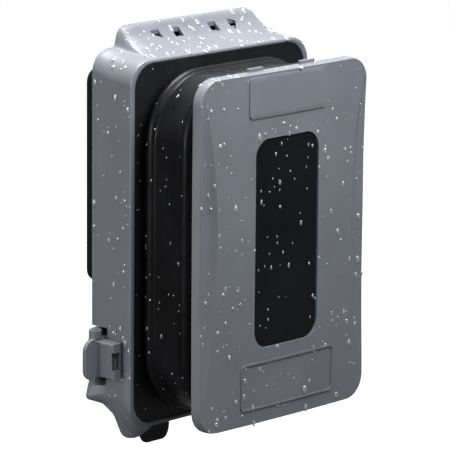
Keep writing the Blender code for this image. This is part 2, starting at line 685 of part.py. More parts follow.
def build_flap(name, side, rubber):
    """Build one rubber flap of the cord exit, hung from the front edge of the exit."""
    pivot_y = -EXIT_FRONT + RUN + FLAP_BARREL_RADIUS
    pivot_z = HOOD_Z - HOOD_HEIGHT / 2 - 1.2 * MM
    barrel_outer = EXIT_HALF_WIDTH - GAP
    rings = []
    for x in (FLAP_SHOULDER_X, barrel_outer):
        ring = []
        for index in range(12):
            angle = 2 * math.pi * index / 12
            across, up = FLAP_BARREL_RADIUS * math.cos(angle), FLAP_BARREL_RADIUS * math.sin(angle)
            ring.append(Vector((x, across, up)))
        rings.append(ring)
    barrel = add_object(f"{name}_barrel", loft(rings), None)
    corners = [
        (FLAP_OUTER_X, 0.0, 0.2 * MM),
        (FLAP_OUTER_X, -FLAP_LENGTH, FLAP_CORNER),
        (FLAP_INNER_X, -FLAP_LENGTH, FLAP_CORNER),
        (FLAP_INNER_X, -FLAP_SHOULDER_LENGTH, 0.4 * MM),
        (FLAP_SHOULDER_X + 0.2 * MM, -FLAP_SHOULDER_LENGTH, 0.4 * MM),
        (FLAP_SHOULDER_X + 0.2 * MM, 0.0, 0.1 * MM),
    ]
    path = rounded_path(corners)
    plate = loft([at_depth(path, -FLAP_THICK / 2), at_depth(path, FLAP_THICK / 2)])
    flap = add_object(name, plate, rubber)
    use_tool(flap, barrel, "UNION")
    for item in (flap, barrel):
        turn = Matrix.Rotation(FLAP_SLANT, 4, "X")
        if side < 0:
            turn = turn @ Matrix.Scale(-1, 4, Vector((1, 0, 0)))
        item.data.transform(turn)
        if side < 0:
            item.data.flip_normals()
        item.location = (0.0, pivot_y, pivot_z)
    return flap


def scoop_strength(z):
    """Return 0 at the ends of the side scoops and 1 at their middle."""
    top = PANEL_HEIGHT / 2 - SCOOP_TOP
    bottom = -PANEL_HEIGHT / 2 + SCOOP_BOTTOM
    if z >= top or z <= bottom:
        return 0.0
    reach = (top - SCOOP_CENTRE) if z > SCOOP_CENTRE else (SCOOP_CENTRE - bottom)
    share = abs(z - SCOOP_CENTRE) / reach
    return max(0.0, 1.0 - share ** 2)


def panel_face(x, z):
    """Return the depth of the crowned front face before the scoops are sunk."""
    across = min(1.0, abs(x) / (PANEL_WIDTH / 2))
    along = min(1.0, abs(z) / (PANEL_HEIGHT / 2))
    return PANEL_EDGE - PANEL_CROWN * (1 - across ** 2) * (1 - 0.35 * along ** 2)


def panel_ring(inset, share, y=None, sink=0.0, back=False):
    """Return one ring of the panel.

    inset is the distance from the edge at the ends, share is the place across the scoop from
    0 at the edge to 1 at its crest, and sink is how far the scoop lies below the face there.
    """
    corner = max(2 * MM, PANEL_CORNER - inset * 0.6)
    base = rounded_box(PANEL_WIDTH - 2 * inset, PANEL_HEIGHT - 2 * inset, corner, steps=8)
    ring = []
    for x, z in even_sides(base):
        strength = scoop_strength(z)
        waist = WAIST_INSET * (0.5 if back else 1.0) * strength
        crest = max(0.0, SCOOP_WIDTH - SCOOP_RIM) * strength * share
        x -= math.copysign(waist + crest, x)
        depth = y if y is not None else panel_face(x, z) + sink * strength
        ring.append(Vector((x, depth, z + HOOD_Z)))
    return ring


def even_sides(path):
    """Add points along the four sides of a rounded rectangle, so that curves there come out smooth."""
    points = []
    count = len(path)
    corner_points = count // 4
    for index, point in enumerate(path):
        points.append(point)
        after = path[(index + 1) % count]
        if index % corner_points == corner_points - 1:
            upright = abs(after.x - point.x) < abs(after.y - point.y)
            parts = 16 if upright else 6
            points += [point.lerp(after, step / parts) for step in range(1, parts)]
    return points


def window_ring(width, height, corner, y=None):
    """Return a ring round the window with as many points as a ring of the panel."""
    path = even_sides(rounded_box(width, height, corner, steps=8))
    ring = []
    for x, z in path:
        z += WINDOW_RISE
        ring.append(Vector((x, y if y is not None else panel_face(x, z), z + HOOD_Z)))
    return ring


def blend_rings(outer, inner, share):
    """Return the ring between two rings, set on the crowned face."""
    ring = []
    for first, second in zip(outer, inner):
        point = first.lerp(second, share)
        ring.append(Vector((point.x, panel_face(point.x, point.z - HOOD_Z), point.z)))
    return ring


def build_panel(grey):
    """Build the sliding front panel with its crown, side scoops, window hole and rear pocket."""
    crest = panel_ring(SCOOP_RIM, 1.0)
    hole = window_ring(WINDOW_WIDTH, WINDOW_HEIGHT, WINDOW_CORNER)
    round_depth = PANEL_EDGE + PANEL_EDGE_ROUND
    rings = [panel_ring(0.0, 0.0, PANEL_BACK, back=True),
             panel_ring(0.0, 0.0, round_depth + SCOOP_DEPTH * 0.3)]
    rings.append(panel_ring(PANEL_EDGE_ROUND * 0.3, 0.0, sink=SCOOP_DEPTH * 0.95))
    for share, sink in ((0.25, 1.05), (0.5, 1.0), (0.7, 0.82), (0.85, 0.55), (0.95, 0.22)):
        rings.append(panel_ring(SCOOP_RIM * (0.3 + 0.7 * share), share, sink=SCOOP_DEPTH * sink))
    rings.append(crest)
    rings += [blend_rings(crest, hole, share) for share in (0.08, 0.3, 0.55, 0.8)]
    rings.append(hole)
    floor = PANEL_BACK - PANEL_POCKET_DEPTH
    rings.append(window_ring(WINDOW_WIDTH, WINDOW_HEIGHT, WINDOW_CORNER, floor))
    pocket = even_sides(rounded_box(PANEL_POCKET_WIDTH, PANEL_POCKET_HEIGHT, PANEL_POCKET_CORNER, steps=8))
    lifted = [(x, z + HOOD_Z) for x, z in pocket]
    rings.append(at_depth(lifted, floor))
    rings.append(at_depth(lifted, PANEL_BACK))
    panel = add_object("front_panel", loft(rings, closed_section=True), grey)
    add_tabs(panel)
    add_bosses(panel)
    return panel


def add_tabs(panel):
    """Weld the two small release tabs on the top edge of the panel."""
    top = HOOD_Z + PANEL_HEIGHT / 2
    for index, x in enumerate((-TAB_LEFT_X, TAB_RIGHT_X)):
        path = [(x - TAB_WIDTH / 2, top - 2 * MM), (x - TAB_WIDTH / 2, top + TAB_RISE),
                (x + TAB_WIDTH / 2, top + TAB_RISE), (x + TAB_WIDTH / 2, top - 2 * MM)]
        tab = prism(f"panel_tab_{index}", path, PANEL_BACK - TAB_THICK, PANEL_BACK - GAP / 2, None)
        use_tool(panel, tab, "UNION")


def clamp_screw_places():
    """Return the (x, z) places of the screws that hold the clamp frame."""
    return [(side * CLAMP_SCREW_X, HOOD_Z + end * CLAMP_SCREW_Z) for side in (-1, 1) for end in (-1, 1)]


def add_bosses(panel):
    """Raise a drilled boss from the pocket floor for each clamp screw."""
    floor = PANEL_BACK - PANEL_POCKET_DEPTH
    boss_top = clamp_lip_front() - GAP
    for index, (x, z) in enumerate(clamp_screw_places()):
        boss = prism(f"panel_boss_{index}", circle_path(x, z, 3 * MM, 14), floor - 0.8 * MM, boss_top, None)
        use_tool(panel, boss, "UNION")
        bore_for_screw(panel, x, z, SMALL_SCREW_RADIUS + GAP, floor - 0.2 * MM, PANEL_BACK + 1 * MM)


def lens_flange_rear():
    """Return the depth of the back of the window's flange."""
    return PANEL_BACK - PANEL_POCKET_DEPTH + 2 * GAP + WINDOW_SEAL_THICK + LENS_FLANGE_THICK


def clamp_lip_front():
    """Return the depth of the front of the clamp frame's lip, which traps the window."""
    return lens_flange_rear() + GAP


def build_window(smoke, black):
    """Build the window with its flange, and the seal between flange and panel."""
    floor = PANEL_BACK - PANEL_POCKET_DEPTH
    width = WINDOW_WIDTH - 2 * GAP
    height = WINDOW_HEIGHT - 2 * GAP
    corner = WINDOW_CORNER - GAP
    flange_w = WINDOW_WIDTH + 2 * LENS_FLANGE
    flange_h = WINDOW_HEIGHT + 2 * LENS_FLANGE
    flange_corner = WINDOW_CORNER + LENS_FLANGE
    seal_rear = floor + GAP + WINDOW_SEAL_THICK
    flange_front = seal_rear + GAP
    front = PANEL_EDGE - PANEL_CROWN + WINDOW_RECESS + 0.4 * MM
    rings = [window_ring(flange_w, flange_h, flange_corner, lens_flange_rear()),
             window_ring(flange_w, flange_h, flange_corner, flange_front),
             window_ring(width, height, corner, flange_front),
             window_ring(width, height, corner, front + 0.4 * MM),
             window_ring(width - 0.8 * MM, height - 0.8 * MM, corner - 0.4 * MM, front)]
    lens = add_object("window_lens", loft(rings), smoke)
    seal = [window_ring(flange_w, flange_h, flange_corner, seal_rear),
            window_ring(flange_w, flange_h, flange_corner, floor + GAP),
            window_ring(WINDOW_WIDTH, WINDOW_HEIGHT, WINDOW_CORNER, floor + GAP),
            window_ring(WINDOW_WIDTH, WINDOW_HEIGHT, WINDOW_CORNER, seal_rear)]
    add_object("window_seal", loft(seal, closed_section=True), black)
    return lens


def clamp_step_width():
    """Return the width of the part of the clamp frame that enters the panel's pocket."""
    return PANEL_POCKET_WIDTH - 2 * CLAMP_STEP_MARGIN


def clamp_step_height():
    """Return the height of the part of the clamp frame that enters the panel's pocket."""
    return PANEL_POCKET_HEIGHT - 2 * CLAMP_STEP_MARGIN


def build_clamp(grey, steel):
    """Build the stepped frame that clamps bellows and window to the panel, with its screws."""
    front = PANEL_BACK + GAP + FLANGE_THICK + GAP
    rear = front + CLAMP_THICK
    outer = at_depth(bellows_path(CLAMP_WIDTH, CLAMP_HEIGHT, CLAMP_CORNER), 0.0)
    step = at_depth(bellows_path(clamp_step_width(), clamp_step_height(), PANEL_POCKET_CORNER), 0.0)
    hole = at_depth(rounded_box(WINDOW_WIDTH + CLAMP_LIP, WINDOW_HEIGHT + CLAMP_LIP, WINDOW_CORNER,
                                0.0, WINDOW_Z, steps=8), 0.0)
    lip = clamp_lip_front()
    order = [(outer, rear), (outer, front), (step, front), (step, lip), (hole, lip), (hole, rear)]
    rings = [[Vector((point.x, y, point.z)) for point in ring] for ring, y in order]
    clamp = add_object("panel_clamp_frame", loft(rings, closed_section=True), grey)
    for index, (x, z) in enumerate(clamp_screw_places(), start=1):
        bore_for_screw(clamp, x, z, SMALL_SCREW_RADIUS + GAP, PANEL_EDGE, rear + 1 * MM)
        make_screw(f"clamp_screw_{index}", x, z, rear + GAP, PANEL_BACK - PANEL_POCKET_DEPTH + GAP,
                   SMALL_SCREW_RADIUS, SMALL_HEAD_RADIUS, steel)
    return clamp


def build_gasket(black):
    """Build the foam gasket that lies between the box and the base."""
    outer = rounded_box(GASKET_WIDTH, GASKET_HEIGHT, GASKET_CORNER)
    inner = rounded_box(GASKET_HOLE_WIDTH, GASKET_HOLE_HEIGHT, GASKET_CORNER)
    gasket = frame_plate("box_gasket", outer, inner, -GASKET_THICK, 0.0, black)
    for end in (-1, 1):
        bore_for_screw(gasket, 0.0, end * BOX_SCREW_SPACING / 2, BOX_SCREW_RADIUS + 2 * GAP,
                       -GASKET_THICK - 1 * MM, 1 * MM)
    return gasket


def base_outline(inset):
    """Return the outline of the base, whose lower corners are stepped in to clear the hood's scallops."""
    a = BASE_WIDTH / 2 - inset
    top = HOOD_Z + BASE_HEIGHT / 2 - inset
    low = HOOD_Z - BASE_HEIGHT / 2 + inset
    step_z = HOOD_Z - HOOD_HEIGHT / 2 + SCALLOP_RISE + BASE_STEP_RISE + inset
    step_x = HOOD_WIDTH / 2 - SCALLOP_INSET - BASE_STEP_INSET - inset
    corner = BASE_CORNER - inset
    half = [(a, top, corner), (a, step_z, 3 * MM), (step_x, step_z, 2 * MM), (step_x, low, 2 * MM)]
    return rounded_path(mirror_half(half))


def base_opening():
    """Return the outline of the hole for the device, with as many points as the base's outline."""
    a, b = BASE_OPENING_WIDTH / 2, BASE_OPENING_HEIGHT / 2
    half = [(a, b, INSERT_CORNER), (a, -b * 0.3, 1 * MM), (a, -b * 0.6, 1 * MM), (a, -b, INSERT_CORNER)]
    return rounded_path(mirror_half(half))


def build_base(grey):
    """Build the base plate with its lip, stand-off ribs, hinge knuckles and latch ears."""
    outer = base_outline(0.0)
    lip_inner = base_outline(BASE_LIP_WALL)
    opening = base_opening()
    rings = [at_depth(outer, BASE_REAR), at_depth(outer, BASE_FRONT - BASE_LIP),
             at_depth(lip_inner, BASE_FRONT - BASE_LIP), at_depth(lip_inner, BASE_FRONT),
             at_depth(opening, BASE_FRONT), at_depth(opening, BASE_REAR)]
    base = add_object("base_plate", loft(rings, closed_section=True), grey)
    add_standoff(base)
    open_lip_for_cords(base)
    add_base_knuckles(base)
    add_latch_ears(base)
    for end in (-1, 1):
        bore_for_screw(base, 0.0, end * BOX_SCREW_SPACING / 2, BOX_SCREW_RADIUS + 2 * GAP,
                       BASE_FRONT - 1 * MM, BASE_REAR + 1 * MM)
    for side in (-1, 1):
        bore_for_screw(base, side * INSERT_SCREW_X, 0.0, SMALL_SCREW_RADIUS + GAP,
                       BASE_FRONT - 1 * MM, BASE_REAR + 1 * MM)
    return base


def add_standoff(base):
    """Weld the U-shaped rib that carries the lower end of the base on the wall."""
    half = HOOD_WIDTH / 2 - SCALLOP_INSET - BASE_STEP_INSET - 1 * MM
    top = -GASKET_HEIGHT / 2 - 1.5 * MM
    bottom = HOOD_Z - BASE_HEIGHT / 2 + 6 * MM
    wall = STANDOFF_WALL
    outline = [(-half, top), (-half + wall, top), (-half + wall, bottom + wall), (half - wall, bottom + wall),
               (half - wall, top), (half, top), (half, bottom), (-half, bottom)]
    use_tool(base, prism("standoff_rib", outline, BASE_REAR - BASE_THICK / 2, 0.0, None), "UNION")


def open_lip_for_cords(base):
    """Cut the lip of the base away over the cord exit."""
    low = HOOD_Z - BASE_HEIGHT / 2
    outline = [(-EXIT_HALF_WIDTH, low - 2 * MM), (-EXIT_HALF_WIDTH, low + BASE_CORNER),
               (EXIT_HALF_WIDTH, low + BASE_CORNER), (EXIT_HALF_WIDTH, low - 2 * MM)]
    use_tool(base, prism("lip_cut", outline, BASE_FRONT - BASE_LIP - 1 * MM, BASE_FRONT - 0.01 * MM, None))


def add_base_knuckles(base):
    """Weld the knuckle arms that reach out through the notches of the hood."""
    root = BASE_WIDTH / 2 - BASE_LIP_WALL * 0.6
    arm_front = BASE_FRONT
    for index, z in enumerate(hinge_heights()):
        half = BASE_KNUCKLE_LENGTH / 2
        ring = circle_path(HINGE_X, HINGE_Y, KNUCKLE_RADIUS)
        arm = [(root, BASE_REAR), (HINGE_X, BASE_REAR - 1.1 * MM), (HINGE_X, arm_front - 1 * MM),
               (root, arm_front)]
        use_tool(base, upright_prism(f"base_arm_{index}", arm, z - half, z + half, None), "UNION")
        use_tool(base, upright_prism(f"base_knuckle_{index}", ring, z - half, z + half, None), "UNION")
        bore = circle_path(HINGE_X, HINGE_Y, PIN_RADIUS + GAP)
        use_tool(base, upright_prism(f"base_bore_{index}", bore, z - half - 1 * MM, z + half + 1 * MM, None))


def ear_heights():
    """Return the lower and upper levels of the two latch ears."""
    near = LATCH_HEIGHT / 2 + RUN
    far = near + EAR_THICK
    return [(LATCH_CENTRE_Z - far, LATCH_CENTRE_Z - near), (LATCH_CENTRE_Z + near, LATCH_CENTRE_Z + far)]


def add_latch_ears(base):
    """Weld the two ears that carry the latch pin."""
    root = -(BASE_WIDTH / 2 - BASE_LIP_WALL * 0.6)
    for index, (low, high) in enumerate(ear_heights()):
        arm = [(root, BASE_REAR), (-LATCH_PIVOT_X, BASE_REAR - 2.2 * MM),
               (-LATCH_PIVOT_X, LATCH_PIVOT_Y), (root, BASE_FRONT - 1 * MM)]
        ring = circle_path(-LATCH_PIVOT_X, LATCH_PIVOT_Y, EAR_RADIUS)
        use_tool(base, upright_prism(f"ear_arm_{index}", arm, low, high, None), "UNION")
        use_tool(base, upright_prism(f"ear_round_{index}", ring, low, high, None), "UNION")
    bore = circle_path(-LATCH_PIVOT_X, LATCH_PIVOT_Y, PIN_RADIUS + GAP)
    low = ear_heights()[0][0] - 1 * MM
    high = ear_heights()[1][1] + 1 * MM
    use_tool(base, upright_prism("ear_bore", bore, low, high, None))


def build_insert(grey, black, steel):
    """Build the device insert, its seal and its two screws."""
    seal_rear = BASE_FRONT - GAP
    seal_front = seal_rear - INSERT_SEAL_THICK
    insert_rear = seal_front - GAP
    insert_front = insert_rear - INSERT_THICK
    outer = rounded_box(INSERT_WIDTH, INSERT_HEIGHT, INSERT_CORNER)
    hole = rounded_box(BASE_OPENING_WIDTH, BASE_OPENING_HEIGHT, INSERT_CORNER)
    device = rounded_box(DEVICE_WIDTH, DEVICE_HEIGHT, DEVICE_CORNER)
    seal = frame_plate("insert_seal", outer, hole, seal_front, seal_rear, black)
    insert = frame_plate("device_insert", outer, device, insert_front, insert_rear, grey)
    for index, side in enumerate((-1, 1), start=1):
        x = side * INSERT_SCREW_X
        for target in (seal, insert):
            bore_for_screw(target, x, 0.0, SMALL_SCREW_RADIUS + GAP, insert_front - 1 * MM, BASE_FRONT)
        make_screw(f"insert_screw_{index}", x, 0.0, insert_front - GAP, BASE_REAR - 0.4 * MM,
                   SMALL_SCREW_RADIUS, SMALL_HEAD_RADIUS, steel)
    return insert


def build_box_screws(steel):
    """Build the two long screws that hold the base on the outlet box."""
    for name, end in (("mounting_screw_upper", 1), ("mounting_screw_lower", -1)):
        make_screw(name, 0.0, end * BOX_SCREW_SPACING / 2, BASE_FRONT - GAP, BOX_SCREW_BEYOND,
                   BOX_SCREW_RADIUS, BOX_HEAD_RADIUS, steel)


def build_pins(steel):
    """Build the hinge pins and the latch pin."""
    reach = BASE_KNUCKLE_LENGTH / 2 + RUN + HOOD_KNUCKLE_LENGTH
    for name, z in zip(("hinge_pin_upper", "hinge_pin_lower"), hinge_heights()):
        upright_prism(name, circle_path(HINGE_X, HINGE_Y, PIN_RADIUS), z - reach, z + reach, steel)
    low = ear_heights()[0][0]
    high = ear_heights()[1][1]
    upright_prism("latch_pin", circle_path(-LATCH_PIVOT_X, LATCH_PIVOT_Y, PIN_RADIUS), low, high, steel)


def build_latch(grey):
    """Build the latch: pivot barrel, side plate with its window, hook bar and finger flange."""
    low = LATCH_CENTRE_Z - LATCH_HEIGHT / 2
    high = LATCH_CENTRE_Z + LATCH_HEIGHT / 2
    wall_x = HOOD_WIDTH / 2 + HOOD_SIDE_DRAFT
    hook_x = -(wall_x + CATCH_RISE + LATCH_CATCH_CLEARANCE)
    outer_x = -LATCH_OUTER_X
    inner_x = outer_x + LATCH_WALL
    front = -LATCH_FRONT
    side = [(inner_x - LATCH_WALL * 0.5, LATCH_PIVOT_Y + 1 * MM), (inner_x + 0.3 * MM, LATCH_PIVOT_Y),
            (inner_x, front + 1.6 * MM), (hook_x, front + 1.2 * MM), (hook_x, front + 0.3 * MM),
            (outer_x + 0.8 * MM, front), (outer_x, front + 0.8 * MM), (outer_x, LATCH_PIVOT_Y + 1 * MM)]
    latch = upright_prism("latch", side, low, high, grey)
    barrel = circle_path(-LATCH_PIVOT_X, LATCH_PIVOT_Y, EAR_RADIUS)
    use_tool(latch, upright_prism("latch_barrel", barrel, low, high, None), "UNION")
    finger_out = outer_x - FINGER_REACH
    half = FINGER_HEIGHT / 2
    chamfer = FINGER_CHAMFER
    mid = LATCH_CENTRE_Z
    root = outer_x + LATCH_WALL / 2
    half_latch = LATCH_HEIGHT / 2
    flare = -(LATCH_PIVOT_X + EAR_RADIUS + RUN)
    finger = [(root, mid + half_latch), (flare, mid + half_latch), (flare, mid + half),
              (finger_out + chamfer, mid + half), (finger_out, mid + half - chamfer),
              (finger_out, mid - half + chamfer), (finger_out + chamfer, mid - half),
              (flare, mid - half), (flare, mid - half_latch), (root, mid - half_latch)]
    use_tool(latch, prism("latch_finger", finger, -FINGER_FRONT, -FINGER_FRONT + FINGER_THICK, None), "UNION")
    window = LATCH_WINDOW_HEIGHT / 2
    path = [(front + 2.4 * MM, mid - window), (front + 2.4 * MM, mid + window),
            (-FINGER_FRONT - 2.2 * MM, mid + window), (-FINGER_FRONT - 2.2 * MM, mid - window)]
    use_tool(latch, side_prism("latch_window", path, outer_x - 2 * MM, hook_x + 2 * MM))
    bore = circle_path(-LATCH_PIVOT_X, LATCH_PIVOT_Y, PIN_RADIUS + GAP)
    use_tool(latch, upright_prism("latch_bore", bore, low - 1 * MM, high + 1 * MM, None))
    return latch


def drill_hood(hood):
    """Drill the ledge for the retainer screws."""
    for x, z in retainer_screw_places():
        bore_for_screw(hood, x, z, SMALL_SCREW_RADIUS + GAP, LEDGE_FRONT - 0.3 * MM, LEDGE_REAR + 0.3 * MM)


def drill_rubber(bellows, retainer):
    """Drill the flange of the bellows and the back of the retainer for the same screws."""
    for x, z in retainer_screw_places():
        radius = SMALL_SCREW_RADIUS + GAP
        bore_for_screw(bellows, x, z, radius, FLANGE_FRONT - 0.1 * MM, FLANGE_REAR + 0.1 * MM)
        depth = RETAINER_FRONT + RETAINER_THICK * 0.15
        bore_for_screw(retainer, x, z, radius, depth, RETAINER_REAR + 0.1 * MM)


def main():
    """Build every piece of the cover."""
    clear_scene()
    grey = make_material("grey_moulding", (0.17, 0.175, 0.19), 0.42)
    black = make_material("black_rubber", (0.012, 0.012, 0.014), 0.55)
    foam = make_material("gasket_foam", (0.02, 0.02, 0.022), 0.9)
    smoke = make_material("smoked_window", (0.03, 0.03, 0.035), 0.08, transmission=0.6)
    steel = make_material("bright_steel", (0.62, 0.62, 0.64), 0.3, metallic=1.0)
    build_gasket(foam)
    build_base(grey)
    build_insert(grey, black, steel)
    build_box_screws(steel)
    build_pins(steel)
    build_latch(grey)
    hood = build_hood(grey)
    drill_hood(hood)
    bellows = build_bellows(black)
    retainer = build_retainer(black, steel)
    drill_rubber(bellows, retainer)
    build_flap("cord_flap_left", -1, black)
    build_flap("cord_flap_right", 1, black)
    build_panel(grey)
    build_window(smoke, black)
    build_clamp(grey, steel)


main()
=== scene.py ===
"""Looks of an expandable in-use outlet cover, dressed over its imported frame.

The hood, panel, latch and flaps get softened edges and moulded finishes. The bellows, the raised
pads and the rain on the surfaces are modelled here.
"""

import json
import logging
import math
import random
from collections.abc import Iterator
from contextlib import contextmanager
from dataclasses import dataclass, field
from enum import Enum

import bpy
from mathutils import Matrix, Vector
from mathutils.bvhtree import BVHTree

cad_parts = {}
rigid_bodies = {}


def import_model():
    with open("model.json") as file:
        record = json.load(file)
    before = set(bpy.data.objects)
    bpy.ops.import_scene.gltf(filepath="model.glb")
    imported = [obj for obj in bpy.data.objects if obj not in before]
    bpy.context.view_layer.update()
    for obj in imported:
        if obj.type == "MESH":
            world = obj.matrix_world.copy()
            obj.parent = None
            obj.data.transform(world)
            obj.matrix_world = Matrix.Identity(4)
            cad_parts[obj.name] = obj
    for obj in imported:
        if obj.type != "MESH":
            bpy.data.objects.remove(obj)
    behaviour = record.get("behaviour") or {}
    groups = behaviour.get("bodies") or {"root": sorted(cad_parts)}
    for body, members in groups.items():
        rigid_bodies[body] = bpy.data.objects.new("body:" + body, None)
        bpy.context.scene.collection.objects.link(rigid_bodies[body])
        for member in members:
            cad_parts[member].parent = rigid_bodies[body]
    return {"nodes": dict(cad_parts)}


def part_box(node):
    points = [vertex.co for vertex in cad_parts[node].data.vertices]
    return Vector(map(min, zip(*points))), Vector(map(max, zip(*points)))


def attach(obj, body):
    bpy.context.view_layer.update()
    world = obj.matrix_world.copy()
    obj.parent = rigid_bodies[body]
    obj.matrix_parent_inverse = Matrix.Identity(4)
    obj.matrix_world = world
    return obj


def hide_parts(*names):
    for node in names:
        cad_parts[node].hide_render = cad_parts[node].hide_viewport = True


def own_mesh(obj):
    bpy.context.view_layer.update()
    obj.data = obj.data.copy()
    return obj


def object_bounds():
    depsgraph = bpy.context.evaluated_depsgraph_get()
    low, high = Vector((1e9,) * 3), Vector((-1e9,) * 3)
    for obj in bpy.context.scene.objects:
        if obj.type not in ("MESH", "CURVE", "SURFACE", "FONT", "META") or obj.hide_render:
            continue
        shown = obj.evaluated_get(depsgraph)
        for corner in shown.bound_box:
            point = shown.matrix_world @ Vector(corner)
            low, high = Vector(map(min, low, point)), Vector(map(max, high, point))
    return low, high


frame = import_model()
CAD_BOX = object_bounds()

LOG = logging.getLogger("outlet_cover")
Material = bpy.types.Material
Piece = bpy.types.Object
Socket = bpy.types.NodeSocket
Pair = tuple[float, float]
Triple = tuple[float, float, float]

MM = 0.001
FRAME_PIXELS = 450
HOOD_CENTRE_Z = -30.6 * MM
RAY_START = 0.2
AHEAD = Vector((0.0, 1.0, 0.0))
RIGHT = Vector((1.0, 0.0, 0.0))
DOWN = Vector((0.0, 0.0, -1.0))
WHITE = (1.0, 1.0, 1.0)


class Slot(Enum):
    """Material slots of the record."""

    GREY = "grey_moulding"
    RUBBER = "black_rubber"
    RETAINER = "black_plastic"
    FOAM = "gasket_foam"
    WINDOW = "smoked_window"
    STEEL = "bright_steel"


class Body(Enum):
    """Moving bodies of the frame."""

    BASE = "base"
    HOOD = "hood"
    PANEL = "panel"
    LATCH = "latch"
    LEFT_FLAP = "cord_flap_left"
    RIGHT_FLAP = "cord_flap_right"


class NodeTree:
    """A short way to lay out the nodes of a material or of the world."""

    def __init__(self, owner: Material | bpy.types.World, shader: str = "Principled BSDF") -> None:
        """Start on the owner's own nodes.

        Args:
            owner: The material or the world.
            shader: The name of the shader node that it starts with.
        """
        self.owner = owner
        owner.use_nodes = True
        self.nodes = owner.node_tree.nodes
        self.links = owner.node_tree.links
        self.shader = self.nodes[shader]

    def add(self, kind: str, **settings: object) -> bpy.types.Node:
        """Add a node and set its properties.

        Args:
            kind: The node's type name.
            settings: Property names and values.

        Returns:
            The new node.
        """
        node = self.nodes.new(kind)
        for key, value in settings.items():
            setattr(node, key, value)
        return node

    def join(self, source: Socket, target: Socket) -> None:
        """Link two sockets."""
        self.links.new(source, target)

    def drive(self, target: str, source: Socket) -> None:
        """Link a socket to one of the shader's inputs."""
        self.join(source, self.shader.inputs[target])

    def fix(self, values: dict[str, object], node: bpy.types.Node | None = None) -> None:
        """Set inputs that are the same all over.

        Args:
            values: The names of the inputs and their values.
            node: The node, or the shader where none is given.
        """
        for target, value in values.items():
            (node or self.shader).inputs[target].default_value = value

    def place(self, run: float = 1.0) -> Socket:
        """Return object coordinates, stretched by a share along Z.

        Args:
            run: The scale along Z.

        Returns:
            The vector socket.
        """
        mapping = self.add("ShaderNodeMapping")
        self.fix({"Scale": (1.0, 1.0, run)}, mapping)
        self.join(self.add("ShaderNodeTexCoord").outputs["Object"], mapping.inputs["Vector"])
        return mapping.outputs["Vector"]

    def noise(self, scale: float, detail: float, run: float = 1.0) -> Socket:
        """Return a noise factor on object coordinates.

        Args:
            scale: Patches for each metre.
            detail: Octaves.
            run: The scale along Z; below 1 the patches are drawn out.

        Returns:
            The factor socket.
        """
        node = self.add("ShaderNodeTexNoise")
        self.fix({"Scale": scale, "Detail": detail}, node)
        self.join(self.place(run), node.inputs["Vector"])
        return node.outputs["Fac"]

    def ramp(self, factor: Socket, low: Triple, high: Triple, span: Pair = (0.3, 0.7)) -> Socket:
        """Return a colour between two by a factor.

        Args:
            factor: The factor socket.
            low: The colour at the start.
            high: The colour at the end.
            span: The factors where the change begins and ends.

        Returns:
            The colour socket.
        """
        node = self.add("ShaderNodeValToRGB")
        elements = node.color_ramp.elements
        elements[0].position, elements[1].position = span
        elements[0].color = (*low, 1.0)
        elements[1].color = (*high, 1.0)
        self.join(factor, node.inputs["Fac"])
        return node.outputs["Color"]

    def shade(self, factor: Socket, colour: Triple, shares: Pair, span: Pair = (0.3, 0.7)) -> None:
        """Let the base colour run between two shades of one colour.

        Args:
            factor: The factor socket.
            colour: The colour.
            shares: The shares of the colour at the start and at the end.
            span: The factors where the change begins and ends.
        """
        low, high = (tuple(channel * share for channel in colour) for share in shares)
        self.drive("Base Color", self.ramp(factor, low, high, span))

    def spread(self, factor: Socket, values: Pair, span: Pair = (0.3, 0.7)) -> Socket:
        """Return a factor mapped to a range of values.

        Args:
            factor: The factor socket.
            values: The values at the start and at the end.
            span: The factors where the change begins and ends.

        Returns:
            The value socket.
        """
        node = self.add("ShaderNodeMapRange")
        self.fix({"From Min": span[0], "From Max": span[1], "To Min": values[0], "To Max": values[1]}, node)
        self.join(factor, node.inputs["Value"])
        return node.outputs["Result"]

    def bump(self, heights: list[tuple[Socket, float, float]]) -> None:
        """Lay bumps on each other and drive the shader's normal.

        Args:
            heights: For each bump its factor, its strength and its depth in metres.
        """
        normal = None
        for factor, strength, depth in heights:
            node = self.add("ShaderNodeBump")
            self.fix({"Strength": strength, "Distance": depth}, node)
            self.join(factor, node.inputs["Height"])
            if normal is not None:
                self.join(normal, node.inputs["Normal"])
            normal = node.outputs["Normal"]
        self.drive("Normal", normal)


@dataclass(frozen=True)
class MouldedPlastic:
    """Satin moulded plastic with fine spark texture, faint mottling and a wet film."""

    name: str
    colour: Triple
    roughness: Pair
    mottle: float = 0.06
    mottle_scale: float = 38.0
    film_scale: float = 150.0
    film_run: float = 0.28
    grain_scale: float = 2600.0
    grain_depth: float = 0.00003
    sink_scale: float = 45.0
    sink_depth: float = 0.0004
    coat: float = 0.12
    coat_roughness: float = 0.32

    def build(self) -> Material:
        """Return the material.

        Returns:
            The material with its nodes.
        """
        tree = NodeTree(bpy.data.materials.new(self.name))
        tree.shade(tree.noise(self.mottle_scale, 3.0), self.colour, (1 - self.mottle, 1 + self.mottle))
        tree.drive("Roughness", tree.spread(tree.noise(self.film_scale, 4.0, self.film_run), self.roughness))
        tree.fix({"Coat Weight": self.coat, "Coat Roughness": self.coat_roughness})
        tree.bump([(tree.noise(self.grain_scale, 2.0), 0.35, self.grain_depth),
                   (tree.noise(self.sink_scale, 1.0), 0.25, self.sink_depth)])
        return tree.owner


